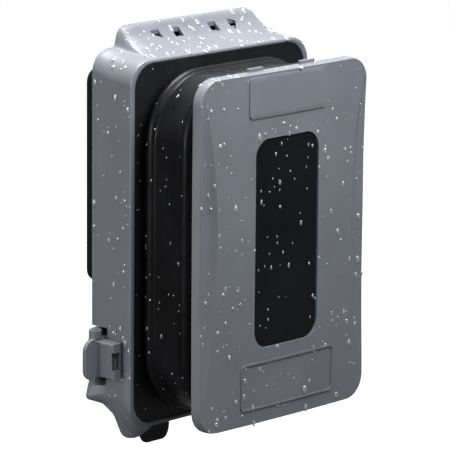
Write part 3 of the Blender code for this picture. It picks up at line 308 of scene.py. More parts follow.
@dataclass(frozen=True)
class MouldedRubber:
    """Black moulded rubber, with a soft skin and a faint bloom."""

    name: str
    colour: Triple
    roughness: Pair
    gloss: float
    bloom_scale: float = 60.0
    bloom_run: float = 0.4
    skin_scale: float = 220.0
    grain_scale: float = 3000.0
    grain_depth: float = 0.00003
    wave_scale: float = 28.0
    wave_depth: float = 0.0006

    def build(self) -> Material:
        """Return the material.

        Returns:
            The material with its nodes.
        """
        tree = NodeTree(bpy.data.materials.new(self.name))
        tree.shade(tree.noise(self.bloom_scale, 4.0, self.bloom_run), self.colour, (0.75, 1.5))
        tree.drive("Roughness", tree.spread(tree.noise(self.skin_scale, 3.0), self.roughness))
        tree.fix({"Specular IOR Level": self.gloss})
        tree.bump([(tree.noise(self.grain_scale, 2.0), 0.3, self.grain_depth),
                   (tree.noise(self.wave_scale, 2.0), 0.4, self.wave_depth)])
        return tree.owner


@dataclass(frozen=True)
class ClosedFoam:
    """Black closed-cell foam with open pores on its cut edge; each pore is painted darker towards its pit,
    as painted shade.
    """

    name: str
    colour: Triple
    cell_scale: float = 1400.0
    cell_depth: float = 0.0002

    def build(self) -> Material:
        """Return the material.

        Returns:
            The material with its nodes.
        """
        tree = NodeTree(bpy.data.materials.new(self.name))
        cells = tree.add("ShaderNodeTexVoronoi")
        tree.fix({"Scale": self.cell_scale}, cells)
        tree.join(tree.place(), cells.inputs["Vector"])
        # Painted shade: the colour falls to half towards each pore's pit, where the bump sinks.
        tree.shade(cells.outputs["Distance"], self.colour, (0.5, 1.0), (0.1, 0.6))
        tree.fix({"Roughness": 0.9, "Specular IOR Level": 0.15})
        tree.bump([(cells.outputs["Distance"], 0.6, self.cell_depth)])
        return tree.owner


@dataclass(frozen=True)
class SmokedWindow:
    """Dark smoked polycarbonate with a hard gloss and faint flow waves."""

    name: str
    colour: Triple
    clear: float
    roughness: Pair = (0.06, 0.16)
    gloss: float = 0.12
    haze_scale: float = 24.0
    smear_scale: float = 90.0
    smear_run: float = 0.3
    wave_scale: float = 30.0
    wave_depth: float = 0.0003

    def build(self) -> Material:
        """Return the material.

        Returns:
            The material with its nodes.
        """
        tree = NodeTree(bpy.data.materials.new(self.name))
        tree.shade(tree.noise(self.haze_scale, 2.0), self.colour, (0.85, 1.2))
        smear = tree.noise(self.smear_scale, 3.0, self.smear_run)
        tree.drive("Roughness", tree.spread(smear, self.roughness))
        tree.fix({"IOR": 1.5, "Specular IOR Level": self.gloss, "Transmission Weight": self.clear})
        tree.bump([(tree.noise(self.wave_scale, 1.0), 0.15, self.wave_depth)])
        return tree.owner


@dataclass(frozen=True)
class BrightSteel:
    """Plated steel with fine turning marks."""

    name: str
    colour: Triple
    roughness: Pair = (0.22, 0.38)
    mark_scale: float = 900.0
    mark_depth: float = 0.00003

    def build(self) -> Material:
        """Return the material.

        Returns:
            The material with its nodes.
        """
        tree = NodeTree(bpy.data.materials.new(self.name))
        marks = tree.noise(self.mark_scale, 3.0)
        tree.shade(marks, self.colour, (0.85, 1.0))
        tree.drive("Roughness", tree.spread(marks, self.roughness))
        tree.fix({"Metallic": 1.0})
        tree.bump([(marks, 0.2, self.mark_depth)])
        return tree.owner


@dataclass(frozen=True)
class RainWater:
    """Clear water of a drop, drawn part see-through with a pale grey base colour that is painted light,
    standing in for the light that a real drop gathers and lets through.
    """

    name: str
    # Both colours are painted light: pale greys in place of the light that the water refracts.
    dim_painted_light: Triple
    bright: Triple
    roughness: float = 0.05
    body: float = 0.62
    ripple_scale: float = 700.0

    def build(self) -> Material:
        """Return the material.

        Returns:
            The material with its nodes.
        """
        tree = NodeTree(bpy.data.materials.new(self.name))
        # Painted light: ripple noise runs the base colour between two pale greys, in place of the light that
        # real water refracts.
        tree.drive("Base Color", tree.ramp(tree.noise(self.ripple_scale, 1.0), self.dim_painted_light, self.bright))
        tree.fix({"Roughness": self.roughness, "IOR": 2.0, "Specular IOR Level": 1.0, "Alpha": self.body,
                  "Coat Weight": 1.0, "Coat Roughness": self.roughness})
        return tree.owner


@dataclass(frozen=True)
class Finishes:
    """Every finish of the cover, built once."""

    grey: Material = field(default_factory=MouldedPlastic(
        "grey_satin_moulding", (0.132, 0.142, 0.164), (0.34, 0.5)).build)
    rubber: Material = field(default_factory=MouldedRubber(
        "flap_rubber", (0.008, 0.009, 0.01), (0.45, 0.6), 0.35).build)
    bellows: Material = field(default_factory=MouldedRubber(
        "bellows_rubber", (0.0045, 0.0047, 0.0054), (0.24, 0.36), 0.13).build)
    retainer: Material = field(default_factory=MouldedRubber(
        "retainer_black", (0.006, 0.0063, 0.007), (0.4, 0.55), 0.3).build)
    foam: Material = field(default_factory=ClosedFoam("gasket_foam", (0.005, 0.005, 0.0055)).build)
    window: Material = field(default_factory=SmokedWindow(
        "smoked_window", (0.0068, 0.0072, 0.0088), 0.03).build)
    steel: Material = field(default_factory=BrightSteel("plated_steel", (0.62, 0.62, 0.64)).build)
    # The drops' pale grey colours are painted light, in place of the light that real drops refract.
    water: Material = field(default_factory=RainWater(
        "rain_water", (0.3, 0.31, 0.33), (0.5, 0.51, 0.54)).build)


def deselect_everything() -> None:
    """Leave edit mode and select nothing."""
    if bpy.context.mode != "OBJECT":
        bpy.ops.object.mode_set(mode="OBJECT")
    bpy.ops.object.select_all(action="DESELECT")


def make_active(piece: Piece) -> None:
    """Select one piece alone and make it active.

    Args:
        piece: The piece.
    """
    deselect_everything()
    piece.select_set(True)
    bpy.context.view_layer.objects.active = piece


@contextmanager
def edit_mode(piece: Piece, everything: bool = True) -> Iterator[None]:
    """Edit one piece's mesh.

    Args:
        piece: The piece.
        everything: Select its whole mesh first; else what was selected stays selected.

    Returns:
        Nothing; the steps under the with statement run in edit mode.
    """
    make_active(piece)
    bpy.ops.object.mode_set(mode="EDIT")
    if everything:
        bpy.ops.mesh.select_all(action="SELECT")
    yield
    bpy.ops.object.mode_set(mode="OBJECT")


def clear_selection(piece: Piece, kind: str) -> None:
    """Select nothing in a piece's mesh, so that its vertices or edges can be picked.

    Args:
        piece: The piece.
        kind: VERT or EDGE.
    """
    with edit_mode(piece):
        bpy.ops.mesh.select_mode(type=kind)
        bpy.ops.mesh.select_all(action="DESELECT")


def face_outward(piece: Piece) -> None:
    """Turn all faces of a piece outward."""
    with edit_mode(piece):
        bpy.ops.mesh.normals_make_consistent(inside=False)


def apply_modifier(piece: Piece, kind: str, **settings: object) -> None:
    """Add one modifier to a piece and apply it.

    Args:
        piece: The piece.
        kind: The modifier's type.
        settings: Its properties.
    """
    make_active(piece)
    modifier = piece.modifiers.new(kind.lower(), kind)
    for key, value in settings.items():
        setattr(modifier, key, value)
    bpy.ops.object.modifier_apply(modifier=modifier.name)


def smooth(piece: Piece, angle: float = 35.0) -> None:
    """Shade a piece smooth up to an angle in degrees."""
    make_active(piece)
    bpy.ops.object.shade_smooth_by_angle(angle=math.radians(angle))


def dress(piece: Piece, material: Material) -> None:
    """Give a piece one material.

    Args:
        piece: The piece.
        material: Its finish.
    """
    piece.data.materials.clear()
    piece.data.materials.append(material)
    for polygon in piece.data.polygons:
        polygon.material_index = 0


def dress_nodes(material: Material, *nodes: str) -> None:
    """Give nodes of the frame, which stay as they are, one material."""
    for node in nodes:
        dress(frame["nodes"][node], material)


def settle(piece: Piece) -> None:
    """Put a piece's place into its mesh."""
    make_active(piece)
    bpy.ops.object.transform_apply(location=True, rotation=True, scale=True)


def new_piece(name: str, mesh: bpy.types.Mesh) -> Piece:
    """Return a new piece of a mesh, at the origin.

    Args:
        name: Its name.
        mesh: Its mesh.

    Returns:
        The new piece.
    """
    piece = bpy.data.objects.new(name, mesh)
    bpy.context.scene.collection.objects.link(piece)
    return piece


def laid_piece(name: str, vertices: list[Vector], faces: list[tuple[int, ...]]) -> Piece:
    """Return a piece of many laid rings or drops, with its faces outward.

    Args:
        name: Its name.
        vertices: The places of its vertices.
        faces: The vertex numbers of each face.

    Returns:
        The new piece.
    """
    mesh = bpy.data.meshes.new(name)
    mesh.from_pydata(vertices, [], faces)
    piece = new_piece(name, mesh)
    face_outward(piece)
    return piece


def hand_over(piece: Piece, material: Material, body: Body, slot: Slot, *nodes: str) -> None:
    """Dress a piece, let it ride on its body and stand for its nodes.

    Args:
        piece: The finished piece.
        material: Its finish.
        body: The body that carries it.
        slot: The record's material slot; not used.
        nodes: The nodes that it replaces.
    """
    dress(piece, material)
    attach(piece, body.value)
    if nodes:
        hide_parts(*nodes)
    LOG.info("piece %s rides on %s, %d faces", piece.name, body.value, len(piece.data.polygons))


def soften(piece: Piece, width: float, angle: float, segments: int = 2, miter: str = "MITER_SHARP") -> None:
    """Soften a piece's edges and shade it smooth.

    Args:
        piece: The piece.
        width: The width of the softened edge in metres.
        angle: Edges sharper than this many degrees are softened.
        segments: Steps across each edge.
        miter: How softened edges meet at an outer corner.
    """
    apply_modifier(piece, "BEVEL", width=width, segments=segments, limit_method="ANGLE",
                   angle_limit=math.radians(angle), miter_outer=miter, harden_normals=False)
    smooth(piece)
    apply_modifier(piece, "WEIGHTED_NORMAL", keep_sharp=True, weight=60)


def softened_copy(node: str, name: str, width: float, angle: float = 38.0, segments: int = 2) -> Piece:
    """Return a merged copy of a node with softened edges.

    Args:
        node: The node to copy.
        name: The new piece's name.
        width: The width of the softened edge in metres.
        angle: Edges sharper than this many degrees are softened.
        segments: Steps across each edge.

    Returns:
        The new piece.
    """
    piece = new_piece(name, frame["nodes"][node].data.copy())
    with edit_mode(piece):
        bpy.ops.mesh.remove_doubles(threshold=0.002 * MM)
        bpy.ops.mesh.dissolve_limited(angle_limit=math.radians(0.4))
    if piece.data.has_custom_normals:
        bpy.ops.mesh.customdata_custom_splitnormals_clear()
    soften(piece, width, angle, segments, "MITER_ARC")
    return piece


def copy_over(node: str, name: str, width: float, material: Material, body: Body, slot: Slot) -> None:
    """Let a softened and dressed copy stand for a node.

    Args:
        node: The node to copy.
        name: The new piece's name.
        width: The width of the softened edge in metres.
        material: Its finish.
        body: The body that carries it.
        slot: The record's material slot.
    """
    hand_over(softened_copy(node, name, width), material, body, slot, node)


@dataclass
class RaisedPad:
    """A flat pad with rounded corners, or its thin border, in front of the panel."""

    name: str
    centre: Pair
    size: Pair
    corner: float
    face_y: float
    border: float = 0.0

    def build(self) -> Piece:
        """Return the pad, or its thin border where a border width is given.

        Returns:
            The flat outline.
        """
        deselect_everything()
        centre = (self.centre[0], self.face_y, self.centre[1] + HOOD_CENTRE_Z)
        bpy.ops.mesh.primitive_plane_add(size=1.0, location=centre, rotation=(math.radians(90), 0.0, 0.0))
        piece = bpy.context.active_object
        piece.name = self.name
        settle(piece)
        with edit_mode(piece):
            bpy.ops.transform.resize(value=(self.size[0], 1.0, self.size[1]), center_override=centre)
            bpy.ops.mesh.bevel(offset=self.corner, segments=8, affect="VERTICES")
            if self.border > 0.0:
                bpy.ops.mesh.select_all(action="SELECT")
                bpy.ops.mesh.inset(thickness=self.border)
                bpy.ops.mesh.delete(type="FACE")
        return piece


@dataclass
class PanelAssembly:
    """The sliding front panel with its window, pads and hidden clamp."""

    finishes: Finishes
    edge: tuple[float, float, int] = (0.35 * MM, 16.0, 3)
    pane_round: float = 0.3 * MM
    pad_rise: float = 0.6 * MM
    pad_sink: float = 0.1 * MM
    pad_round: float = 0.2 * MM
    pad_centre: Pair = (0.0, 71.9 * MM)
    pad_size: Pair = (51.5 * MM, 19.2 * MM)
    badge_centre: Pair = (1.6 * MM, -64.5 * MM)
    badge_size: Pair = (62.5 * MM, 22.5 * MM)
    badge_border: float = 0.9 * MM
    corner: float = 2.5 * MM
    scoop_top: float = 9 * MM
    scoop_bottom: float = 16 * MM
    scoop_centre: float = 12 * MM
    scoop_crest: float = 14.2 * MM
    crest_shift: float = 3.6 * MM
    rim_shift: float = 1.4 * MM
    waist: float = 2.2 * MM
    trough_depth: float = 1.1 * MM
    window_clearance: float = 24 * MM
    seat_margin: float = 11 * MM
    seat_depth: float = 3.8 * MM
    rear_lip: float = 1.5 * MM

    def scoop_strength(self, height: float, half_height: float) -> float:
        """Return 1 at the middle of the side scoops and 0 at their ends.

        Args:
            height: The height over the panel's middle.
            half_height: Half the panel's height.

        Returns:
            The strength.
        """
        top, bottom = half_height - self.scoop_top, self.scoop_bottom - half_height
        if not bottom < height < top:
            return 0.0
        reach = top - self.scoop_centre if height > self.scoop_centre else self.scoop_centre - bottom
        return 1.0 - (abs(height - self.scoop_centre) / reach) ** 2

    def ease_scoops(self, panel: Piece) -> None:
        """Set the crests of the side scoops and the panel's waist a little further out.

        Args:
            panel: The softened panel.
        """
        low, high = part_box("front_panel")
        half_width, half_height = (high.x - low.x) / 2, (high.z - low.z) / 2
        inner = self.window_clearance
        for vertex in panel.data.vertices:
            side = abs(vertex.co.x)
            strength = self.scoop_strength(vertex.co.z - HOOD_CENTRE_Z, half_height)
            crest = half_width - self.scoop_crest * strength
            on_seat = side < half_width - self.seat_margin and vertex.co.y > high.y - self.seat_depth
            if strength <= 0.0 or side <= inner or on_seat:
                continue
            if side < crest:
                share, edge = (side - inner) / (crest - inner), 0.0
                shift = self.crest_shift * share
            else:
                edge = min(1.0, (side - crest) / max(1e-6, half_width - self.waist * strength - crest))
                shift = self.crest_shift + (self.rim_shift - self.crest_shift) * edge
            vertex.co.x += math.copysign(shift * strength, vertex.co.x)
            if vertex.co.y < high.y - self.rear_lip:
                trough = self.trough_depth * math.sin(math.pi * edge)
                vertex.co.y -= (self.rim_shift * edge - trough) * strength

    def draped(self, piece: Piece, surface: BVHTree) -> None:
        """Lay a thin outline on the panel's face and give it thickness.

        Args:
            piece: The flat outline, in front of the panel.
            surface: The panel's surface.
        """
        apply_modifier(piece, "TRIANGULATE")
        apply_modifier(piece, "SUBSURF", subdivision_type="SIMPLE", levels=3, render_levels=3)
        for vertex in piece.data.vertices:
            hit, _, _, _ = surface.ray_cast(Vector((vertex.co.x, -RAY_START, vertex.co.z)), AHEAD)
            if hit is not None:
                vertex.co.y = hit.y + self.pad_sink
        apply_modifier(piece, "SOLIDIFY", thickness=self.pad_rise + self.pad_sink, offset=1.0)
        face_outward(piece)
        apply_modifier(piece, "BEVEL", width=self.pad_round, segments=2, limit_method="ANGLE",
                       angle_limit=math.radians(50))
        smooth(piece)

    def build(self) -> None:
        """Build and hand over the panel's pieces."""
        panel = softened_copy("front_panel", "panel_shell", *self.edge)
        self.ease_scoops(panel)
        hand_over(panel, self.finishes.grey, Body.PANEL, Slot.GREY, "front_panel")
        surface = BVHTree.FromObject(panel, bpy.context.evaluated_depsgraph_get())
        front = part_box("front_panel")[0].y - 2 * MM
        for outline in (
                RaisedPad("blank_pad", self.pad_centre, self.pad_size, self.corner, front),
                RaisedPad("badge_border", self.badge_centre, self.badge_size, self.corner, front,
                          self.badge_border)):
            piece = outline.build()
            self.draped(piece, surface)
            hand_over(piece, self.finishes.grey, Body.PANEL, Slot.GREY)
        copy_over("window_lens", "window_pane", self.pane_round, self.finishes.window, Body.PANEL,
                  Slot.WINDOW)
        dress_nodes(self.finishes.rubber, "window_seal")
        dress_nodes(self.finishes.grey, "panel_clamp_frame")
        dress_nodes(self.finishes.steel, *(f"clamp_screw_{index}" for index in range(1, 5)))


@dataclass
class HoodAssembly:
    """The hinged hood shell and the retainer ring of its bellows."""

    finishes: Finishes
    edge: tuple[float, float, int] = (0.4 * MM, 32.0, 3)
    ring_round: float = 0.2 * MM
    rear_y: float = -3.6 * MM
    depth: float = 25.0 * MM
    end_z: float = HOOD_CENTRE_Z - 87.5 * MM
    crown_z: float = HOOD_CENTRE_Z + 87.5 * MM
    crown_end_x: float = 33.0 * MM
    lobe_from_x: float = 35.5 * MM
    lobe_full_x: float = 38.0 * MM
    lobe_fade_x: float = 45.0 * MM
    lobe_end_x: float = 52.0 * MM
    lobe_rest: float = 0.1
    lobe_power: float = 1.15
    lobe_growth: float = 3.6

    def fuller_lobes(self, hood: Piece) -> None:
        """Let the two lobes beside the cord exit keep their drop further towards the rim.

        Args:
            hood: The softened hood.
        """
        for vertex in hood.data.vertices:
            side, below = abs(vertex.co.x), self.end_z - vertex.co.z
            distance = (self.rear_y - vertex.co.y) / self.depth
            if below <= 0.0 or side < self.lobe_from_x or distance <= self.lobe_rest:
                continue
            inside = min(1.0, (side - self.lobe_from_x) / (self.lobe_full_x - self.lobe_from_x))
            outside = min(1.0, max(0.0, (self.lobe_end_x - side) / (self.lobe_end_x - self.lobe_fade_x)))
            run = min(1.0, (distance - self.lobe_rest) / (1.0 - self.lobe_rest))
            now = 0.5 + 0.5 * math.cos(math.pi * math.sqrt(run))
            wanted = 0.5 + 0.5 * math.cos(math.pi * run ** self.lobe_power)
            growth = min(self.lobe_growth, (wanted + 0.02) / (now + 0.02))
            vertex.co.z = self.end_z - below * (1.0 + (growth - 1.0) * inside * outside)

    def soften_crown_ends(self, hood: Piece) -> None:
        """Relax the two ends of the upper hump, where it rolls into the corners.

        Args:
            hood: The softened hood.
        """
        clear_selection(hood, "VERT")
        front, rear = self.rear_y - self.depth * 0.93, self.rear_y - 1.5 * MM
        for vertex in hood.data.vertices:
            place = vertex.co
            vertex.select = (abs(place.x) > self.crown_end_x and place.z > self.crown_z - 1 * MM
                             and front < place.y < rear)
        with edit_mode(hood, everything=False):
            bpy.ops.mesh.vertices_smooth(factor=0.5, repeat=5)

    def build(self) -> None:
        """Build and hand over the hood's rigid pieces."""
        hood = softened_copy("hood_shell", "hood_skin", *self.edge)
        self.fuller_lobes(hood)
        self.soften_crown_ends(hood)
        hand_over(hood, self.finishes.grey, Body.HOOD, Slot.GREY, "hood_shell")
        copy_over("bellows_retainer", "retainer_ring", self.ring_round, self.finishes.retainer, Body.HOOD,
                  Slot.RETAINER)
        dress_nodes(self.finishes.steel, *(f"retainer_screw_{index}" for index in range(1, 5)))


@dataclass
class SideLatch:
    """The latch: a hollow block on a barrel, with a window at its front corner and a finger flange."""

    finishes: Finishes
    centre_z: float = HOOD_CENTRE_Z - 54.0 * MM
    height: float = 17.2 * MM
    outer_x: float = -66.2 * MM
    inner_x: float = -60.7 * MM
    front_y: float = -24.0 * MM
    pivot: Pair = (-64.5 * MM, -9.5 * MM)
    barrel_radius: float = 3.1 * MM
    front_round: float = 1.3 * MM
    side_round: float = 1.0 * MM
    edge_round: float = 0.35 * MM
    wall: float = 2.2 * MM
    end_wall: float = 1.5 * MM
    window_height: float = 8.8 * MM
    window_side: float = 1.2 * MM
    finger_out_x: float = -74.3 * MM
    flare_x: float = -68.0 * MM
    finger_front_y: float = -14.0 * MM
    finger_thick: float = 2.3 * MM
    finger_corner: float = 5.5 * MM
    finger_over: float = 1.3 * MM

    def block(self, name: str, low: Triple, high: Triple) -> Piece:
        """Return a block between two corners.

        Args:
            name: Its name.
            low: The corner with the lowest values.
            high: The corner with the highest values.

        Returns:
            The block, with its place in its mesh.
        """
        deselect_everything()
        middle = [(a + b) / 2 for a, b in zip(low, high)]
        bpy.ops.mesh.primitive_cube_add(size=1.0, location=middle)
        piece = bpy.context.active_object
        piece.name = name
        piece.scale = [b - a for a, b in zip(low, high)]
        settle(piece)
        return piece

    def round_edges(self, piece: Piece, along: int, radius: float, towards: Vector) -> None:
        """Round the edges of a block that run along one axis and lie on one side.

        Args:
            piece: The block.
            along: The axis of the edges, 0 to 2.
            radius: The radius.
            towards: Only edges whose middle lies this way from the block's middle are rounded.
        """
        clear_selection(piece, "EDGE")
        points = [vertex.co for vertex in piece.data.vertices]
        middle = sum(points, Vector()) / len(points)
        for edge in piece.data.edges:
            start, end = points[edge.vertices[0]], points[edge.vertices[1]]
            run = (end - start).normalized()
            edge.select = abs(run[along]) > 0.99 and ((start + end) / 2 - middle).dot(towards) > 0
        with edit_mode(piece, everything=False):
            bpy.ops.mesh.bevel(offset=radius, segments=6, affect="EDGES")

    def combine(self, piece: Piece, tool: Piece, operation: str) -> None:
        """Join a tool to the piece or cut it out, and remove the tool."""
        apply_modifier(piece, "BOOLEAN", object=tool, operation=operation, solver="EXACT")
        bpy.data.objects.remove(tool)

    def levels(self, beyond: float = 0.0) -> Pair:
        """Return the heights of the block's lower and upper end, moved outward."""
        return self.centre_z - self.height / 2 - beyond, self.centre_z + self.height / 2 + beyond

    def shell(self) -> Piece:
        """Return the block with its rounded front corner and sides.

        Returns:
            The solid block.
        """
        low, high = self.levels()
        piece = self.block("side_latch", (self.outer_x, self.front_y, low),
                           (self.inner_x, self.pivot[1], high))
        self.round_edges(piece, 2, self.front_round, Vector((-1.0, -1.0, 0.0)))
        self.round_edges(piece, 1, self.side_round, Vector((-1.0, 0.0, 0.0)))
        return piece

    def hollow(self) -> Piece:
        """Return the room inside the block, open towards the hood.

        Returns:
            The tool that is cut out.
        """
        low, high = self.levels(-self.end_wall)
        return self.block("latch_hollow", (self.outer_x + self.wall, self.front_y + self.wall, low),
                          (self.inner_x + 2 * MM, self.finger_front_y, high))

    def window(self) -> Piece:
        """Return the cut of the window, which goes round the block's front corner.

        Returns:
            The tool that is cut out.
        """
        half = self.window_height / 2
        ahead, through = self.front_y - 1 * MM, self.front_y + self.wall + 0.5 * MM
        piece = self.block("latch_window", (self.outer_x - 1 * MM, ahead, self.centre_z - half),
                           (self.inner_x - 0.6 * MM, through, self.centre_z + half))
        low, high = self.levels(1 * MM)
        corner = self.block("window_corner", (self.outer_x - 2 * MM, self.front_y + self.window_side, low),
                            (self.outer_x + 0.4 * MM, self.pivot[1], high))
        self.combine(piece, corner, "DIFFERENCE")
        return piece

    def barrel(self) -> Piece:
        """Return the round barrel on the latch pin.

        Returns:
            The barrel.
        """
        deselect_everything()
        bpy.ops.mesh.primitive_cylinder_add(vertices=32, radius=self.barrel_radius, depth=self.height,
                                            location=(*self.pivot, self.centre_z))
        piece = bpy.context.active_object
        settle(piece)
        return piece

    def finger(self) -> Piece:
        """Return the finger flange with its round outer corners.

        Returns:
            The flange.
        """
        low, high = self.levels(self.finger_over)
        piece = self.block("latch_finger", (self.finger_out_x, self.finger_front_y, low),
                           (self.flare_x, self.finger_front_y + self.finger_thick, high))
        self.round_edges(piece, 1, self.finger_corner, Vector((-1.0, 0.0, 0.0)))
        return piece

    def root(self) -> Piece:
        """Return the strip that joins the finger flange to the block.

        Returns:
            The strip.
        """
        low, high = self.levels(-0.1 * MM)
        return self.block("latch_root", (self.flare_x - 1 * MM, self.finger_front_y, low),
                          (self.outer_x + 1.2 * MM, self.finger_front_y + self.finger_thick, high))

    def build(self) -> Piece:
        """Cut and join the latch, and hand it over.

        Returns:
            The finished latch.
        """
        latch = self.shell()
        self.combine(latch, self.hollow(), "DIFFERENCE")
        self.combine(latch, self.window(), "DIFFERENCE")
        for added in (self.barrel, self.finger, self.root):
            self.combine(latch, added(), "UNION")
        soften(latch, self.edge_round, 45.0)
        hand_over(latch, self.finishes.grey, Body.LATCH, Slot.GREY, "latch")
        return latch


@dataclass
class CordFlap:
    """A rubber flap that leaves its barrel towards the wall, bends, and hangs straight down."""

    finishes: Finishes
    node: str
    body: Body
    edge_round: float = 0.3 * MM
    pivot: Pair = (-21.1 * MM, -119.3 * MM)
    slant: float = 40.0
    leave: float = 70.0
    bend_from: float = 8.0 * MM
    bend_to: float = 10.5 * MM
    bend_cuts: int = 6
    curve_steps: int = 24
    barrel_reach: float = 1.4 * MM
    stretch: float = 1.55

    def curve(self, along: float) -> Triple:
        """Return the place and the slant of the bent sheet at a distance from the barrel.

        Args:
            along: The distance on the flat sheet.

        Returns:
            Y and Z from the pivot, and the angle from straight down in radians.
        """
        if along <= self.bend_from:
            angle = math.radians(self.leave)
            return along * math.sin(angle), -along * math.cos(angle), angle
        y, z, angle = self.curve(self.bend_from)
        step = (min(along, self.bend_to) - self.bend_from) / self.curve_steps
        for index in range(self.curve_steps):
            share = (index + 0.5) * step / (self.bend_to - self.bend_from)
            angle = math.radians(self.leave) * (1 - share)
            y += step * math.sin(angle)
            z -= step * math.cos(angle)
        if along > self.bend_to:
            angle = 0.0
            z -= (along - self.bend_to) * self.stretch
        return y, z, angle

    def build(self) -> Piece:
        """Bend the flap, and hand it over.

        Returns:
            The finished flap.
        """
        flap = softened_copy(self.node, f"{self.node}_rubber", self.edge_round)
        slant = math.radians(self.slant)
        down = Vector((0.0, math.sin(slant), -math.cos(slant)))
        out = Vector((0.0, math.cos(slant), math.sin(slant)))
        pivot = Vector((0.0, *self.pivot))
        with edit_mode(flap):
            for index in range(-1, self.bend_cuts + 2):
                bpy.ops.mesh.select_all(action="SELECT")
                level = self.bend_from + (self.bend_to - self.bend_from) * index / self.bend_cuts
                bpy.ops.mesh.bisect(plane_co=pivot + down * level, plane_no=down)
        for vertex in flap.data.vertices:
            offset = vertex.co - pivot
            along, off = offset.dot(down), offset.dot(out)
            if along > self.barrel_reach:
                y, z, angle = self.curve(along)
                vertex.co.y = self.pivot[0] + y + off * math.cos(angle)
                vertex.co.z = self.pivot[1] + z + off * math.sin(angle)
        smooth(flap, 50.0)
        hand_over(flap, self.finishes.rubber, self.body, Slot.RUBBER, self.node)
        return flap


@dataclass
class Bellows:
    """The black bellows: flange, groove, two rolled ridges and the neck behind the panel."""

    finishes: Finishes
    wall: float = 1.2 * MM
    width: float = 108.0 * MM
    height: float = 163.5 * MM
    corner: float = 32.0 * MM
    rear_y: float = -25.3 * MM
    front_y: float = -64.8 * MM
    travel: float = 36.0 * MM
    flange: Triple = (113.0 * MM, 170.4 * MM, 11.2 * MM)
    root: Pair = (101.0 * MM, 156.0 * MM)
    neck: Triple = (84.0 * MM, 146.0 * MM, 14.0 * MM)
    groove: float = 4.5 * MM
    body_inset: float = 1.6 * MM
    first_ridge: float = 0.22
    second_ridge: float = 0.79
    ridge_half: float = 0.075
    groove_run: float = 0.05
    corner_steps: int = 14
    depth_steps: int = 44
    first_step: int = 3

    def inset_at(self, share: float) -> float:
        """Return how far the wall lies inside the ridges.

        Args:
            share: The place between the rear flange, 0, and the panel, 1.

        Returns:
            The inset in metres.
        """
        low = self.first_ridge - self.ridge_half
        high = self.second_ridge + self.ridge_half
        if share < low or share > high:
            beyond = (low - share) if share < low else (share - high)
            return self.body_inset + (self.groove - self.body_inset) * min(1.0, beyond / self.groove_run)
        nearest = min(abs(share - self.first_ridge), abs(share - self.second_ridge))
        bulge = max(0.0, 1.0 - (nearest / self.ridge_half) ** 2)
        return self.body_inset * (1.0 - bulge)

    def outline(self, width: float, height: float, corner: float) -> list[Vector]:
        """Return a rounded rectangle about the hood's centre.

        Args:
            width: Its width.
            height: Its height.
            corner: Its corner radius.

        Returns:
            Points in the plane of the wall.
        """
        points = []
        for quadrant, (side, end) in enumerate(((1, 1), (-1, 1), (-1, -1), (1, -1))):
            middle = Vector((side * (width / 2 - corner), 0.0, end * (height / 2 - corner)))
            for step in range(self.corner_steps + 1):
                angle = math.radians(90) * (quadrant + step / self.corner_steps)
                points.append(middle + Vector((math.cos(angle), 0.0, math.sin(angle))) * corner)
        return points

    def rings(self) -> list[tuple[float, float, float, float]]:
        """List the rings of the skin, from the flange to the neck.

        Returns:
            The Y, width, height and corner radius of each ring.
        """
        rows = [(self.rear_y, *self.flange), (self.rear_y, *self.root, self.corner),
                (self.rear_y - 1.0 * MM, self.root[0] - 0.6 * MM, self.root[1] - 0.6 * MM, self.corner)]
        length = self.rear_y - self.front_y
        for step in range(self.first_step, self.depth_steps + 1):
            share = step / self.depth_steps
            inset = self.inset_at(share)
            rows.append((self.rear_y - length * share, self.width - 2 * inset, self.height - 2 * inset,
                         self.corner - inset * 0.4))
        rows.append((self.front_y, *self.neck))
        return rows

    def build(self) -> Piece:
        """Lay the skin, give it its wall, hand it over and give it its own mesh.

        Returns:
            The finished bellows.
        """
        rows = self.rings()
        vertices = [Vector((point.x, y, point.z + HOOD_CENTRE_Z))
                    for y, *section in rows for point in self.outline(*section)]
        around = len(vertices) // len(rows)
        faces = []
        for row in range(len(rows) - 1):
            near, far = row * around, (row + 1) * around
            for index in range(around):
                after = (index + 1) % around
                faces.append((near + index, near + after, far + after, far + index))
        piece = laid_piece("bellows_skin", vertices, faces)
        apply_modifier(piece, "SOLIDIFY", thickness=self.wall, offset=-1.0)
        apply_modifier(piece, "SUBSURF", levels=1, render_levels=1)
        smooth(piece, 60.0)
        hand_over(piece, self.finishes.bellows, Body.HOOD, Slot.RUBBER, "bellows")
        self.tie(piece)
        return piece

    def tie(self, piece: Piece) -> None:
        """Give a piece its own copy of its mesh.

        Args:
            piece: The bellows or its drops.
        """
        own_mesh(piece)


@dataclass
class BaseAssembly:
    """What stays on the wall: gasket, base plate, insert, pins and screws."""

    finishes: Finishes
    edge_round: float = 0.3 * MM
    gasket_round: float = 0.4 * MM

    def build(self) -> None:
        """Dress the base's pieces."""
        for node, name in (("base_plate", "base_moulding"), ("device_insert", "insert_moulding")):
            copy_over(node, name, self.edge_round, self.finishes.grey, Body.BASE, Slot.GREY)
        copy_over("box_gasket", "gasket_foam_pad", self.gasket_round, self.finishes.foam, Body.BASE,
                  Slot.FOAM)
        dress_nodes(self.finishes.rubber, "insert_seal")
        dress_nodes(self.finishes.steel, "mounting_screw_upper", "mounting_screw_lower", "insert_screw_1",
                    "insert_screw_2", "hinge_pin_upper", "hinge_pin_lower", "latch_pin")


@dataclass(frozen=True)
class Lamp:
    """One square softbox: its name, place, side in metres and power in watts."""

    name: str
    place: Triple
    size: float
    power: float

    def hang(self, target: Triple) -> None:
        """Hang the lamp so that it faces a target.

        Args:
            target: The place that it faces.
        """
        data = bpy.data.lights.new(self.name, "AREA")
        data.shape = "SQUARE"
        data.size = self.size
        data.energy = self.power
        lamp = bpy.data.objects.new(self.name, data)
        lamp.location = self.place
        towards = Vector(target) - Vector(self.place)
        lamp.rotation_euler = towards.to_track_quat("-Z", "Y").to_euler()
        bpy.context.scene.collection.objects.link(lamp)


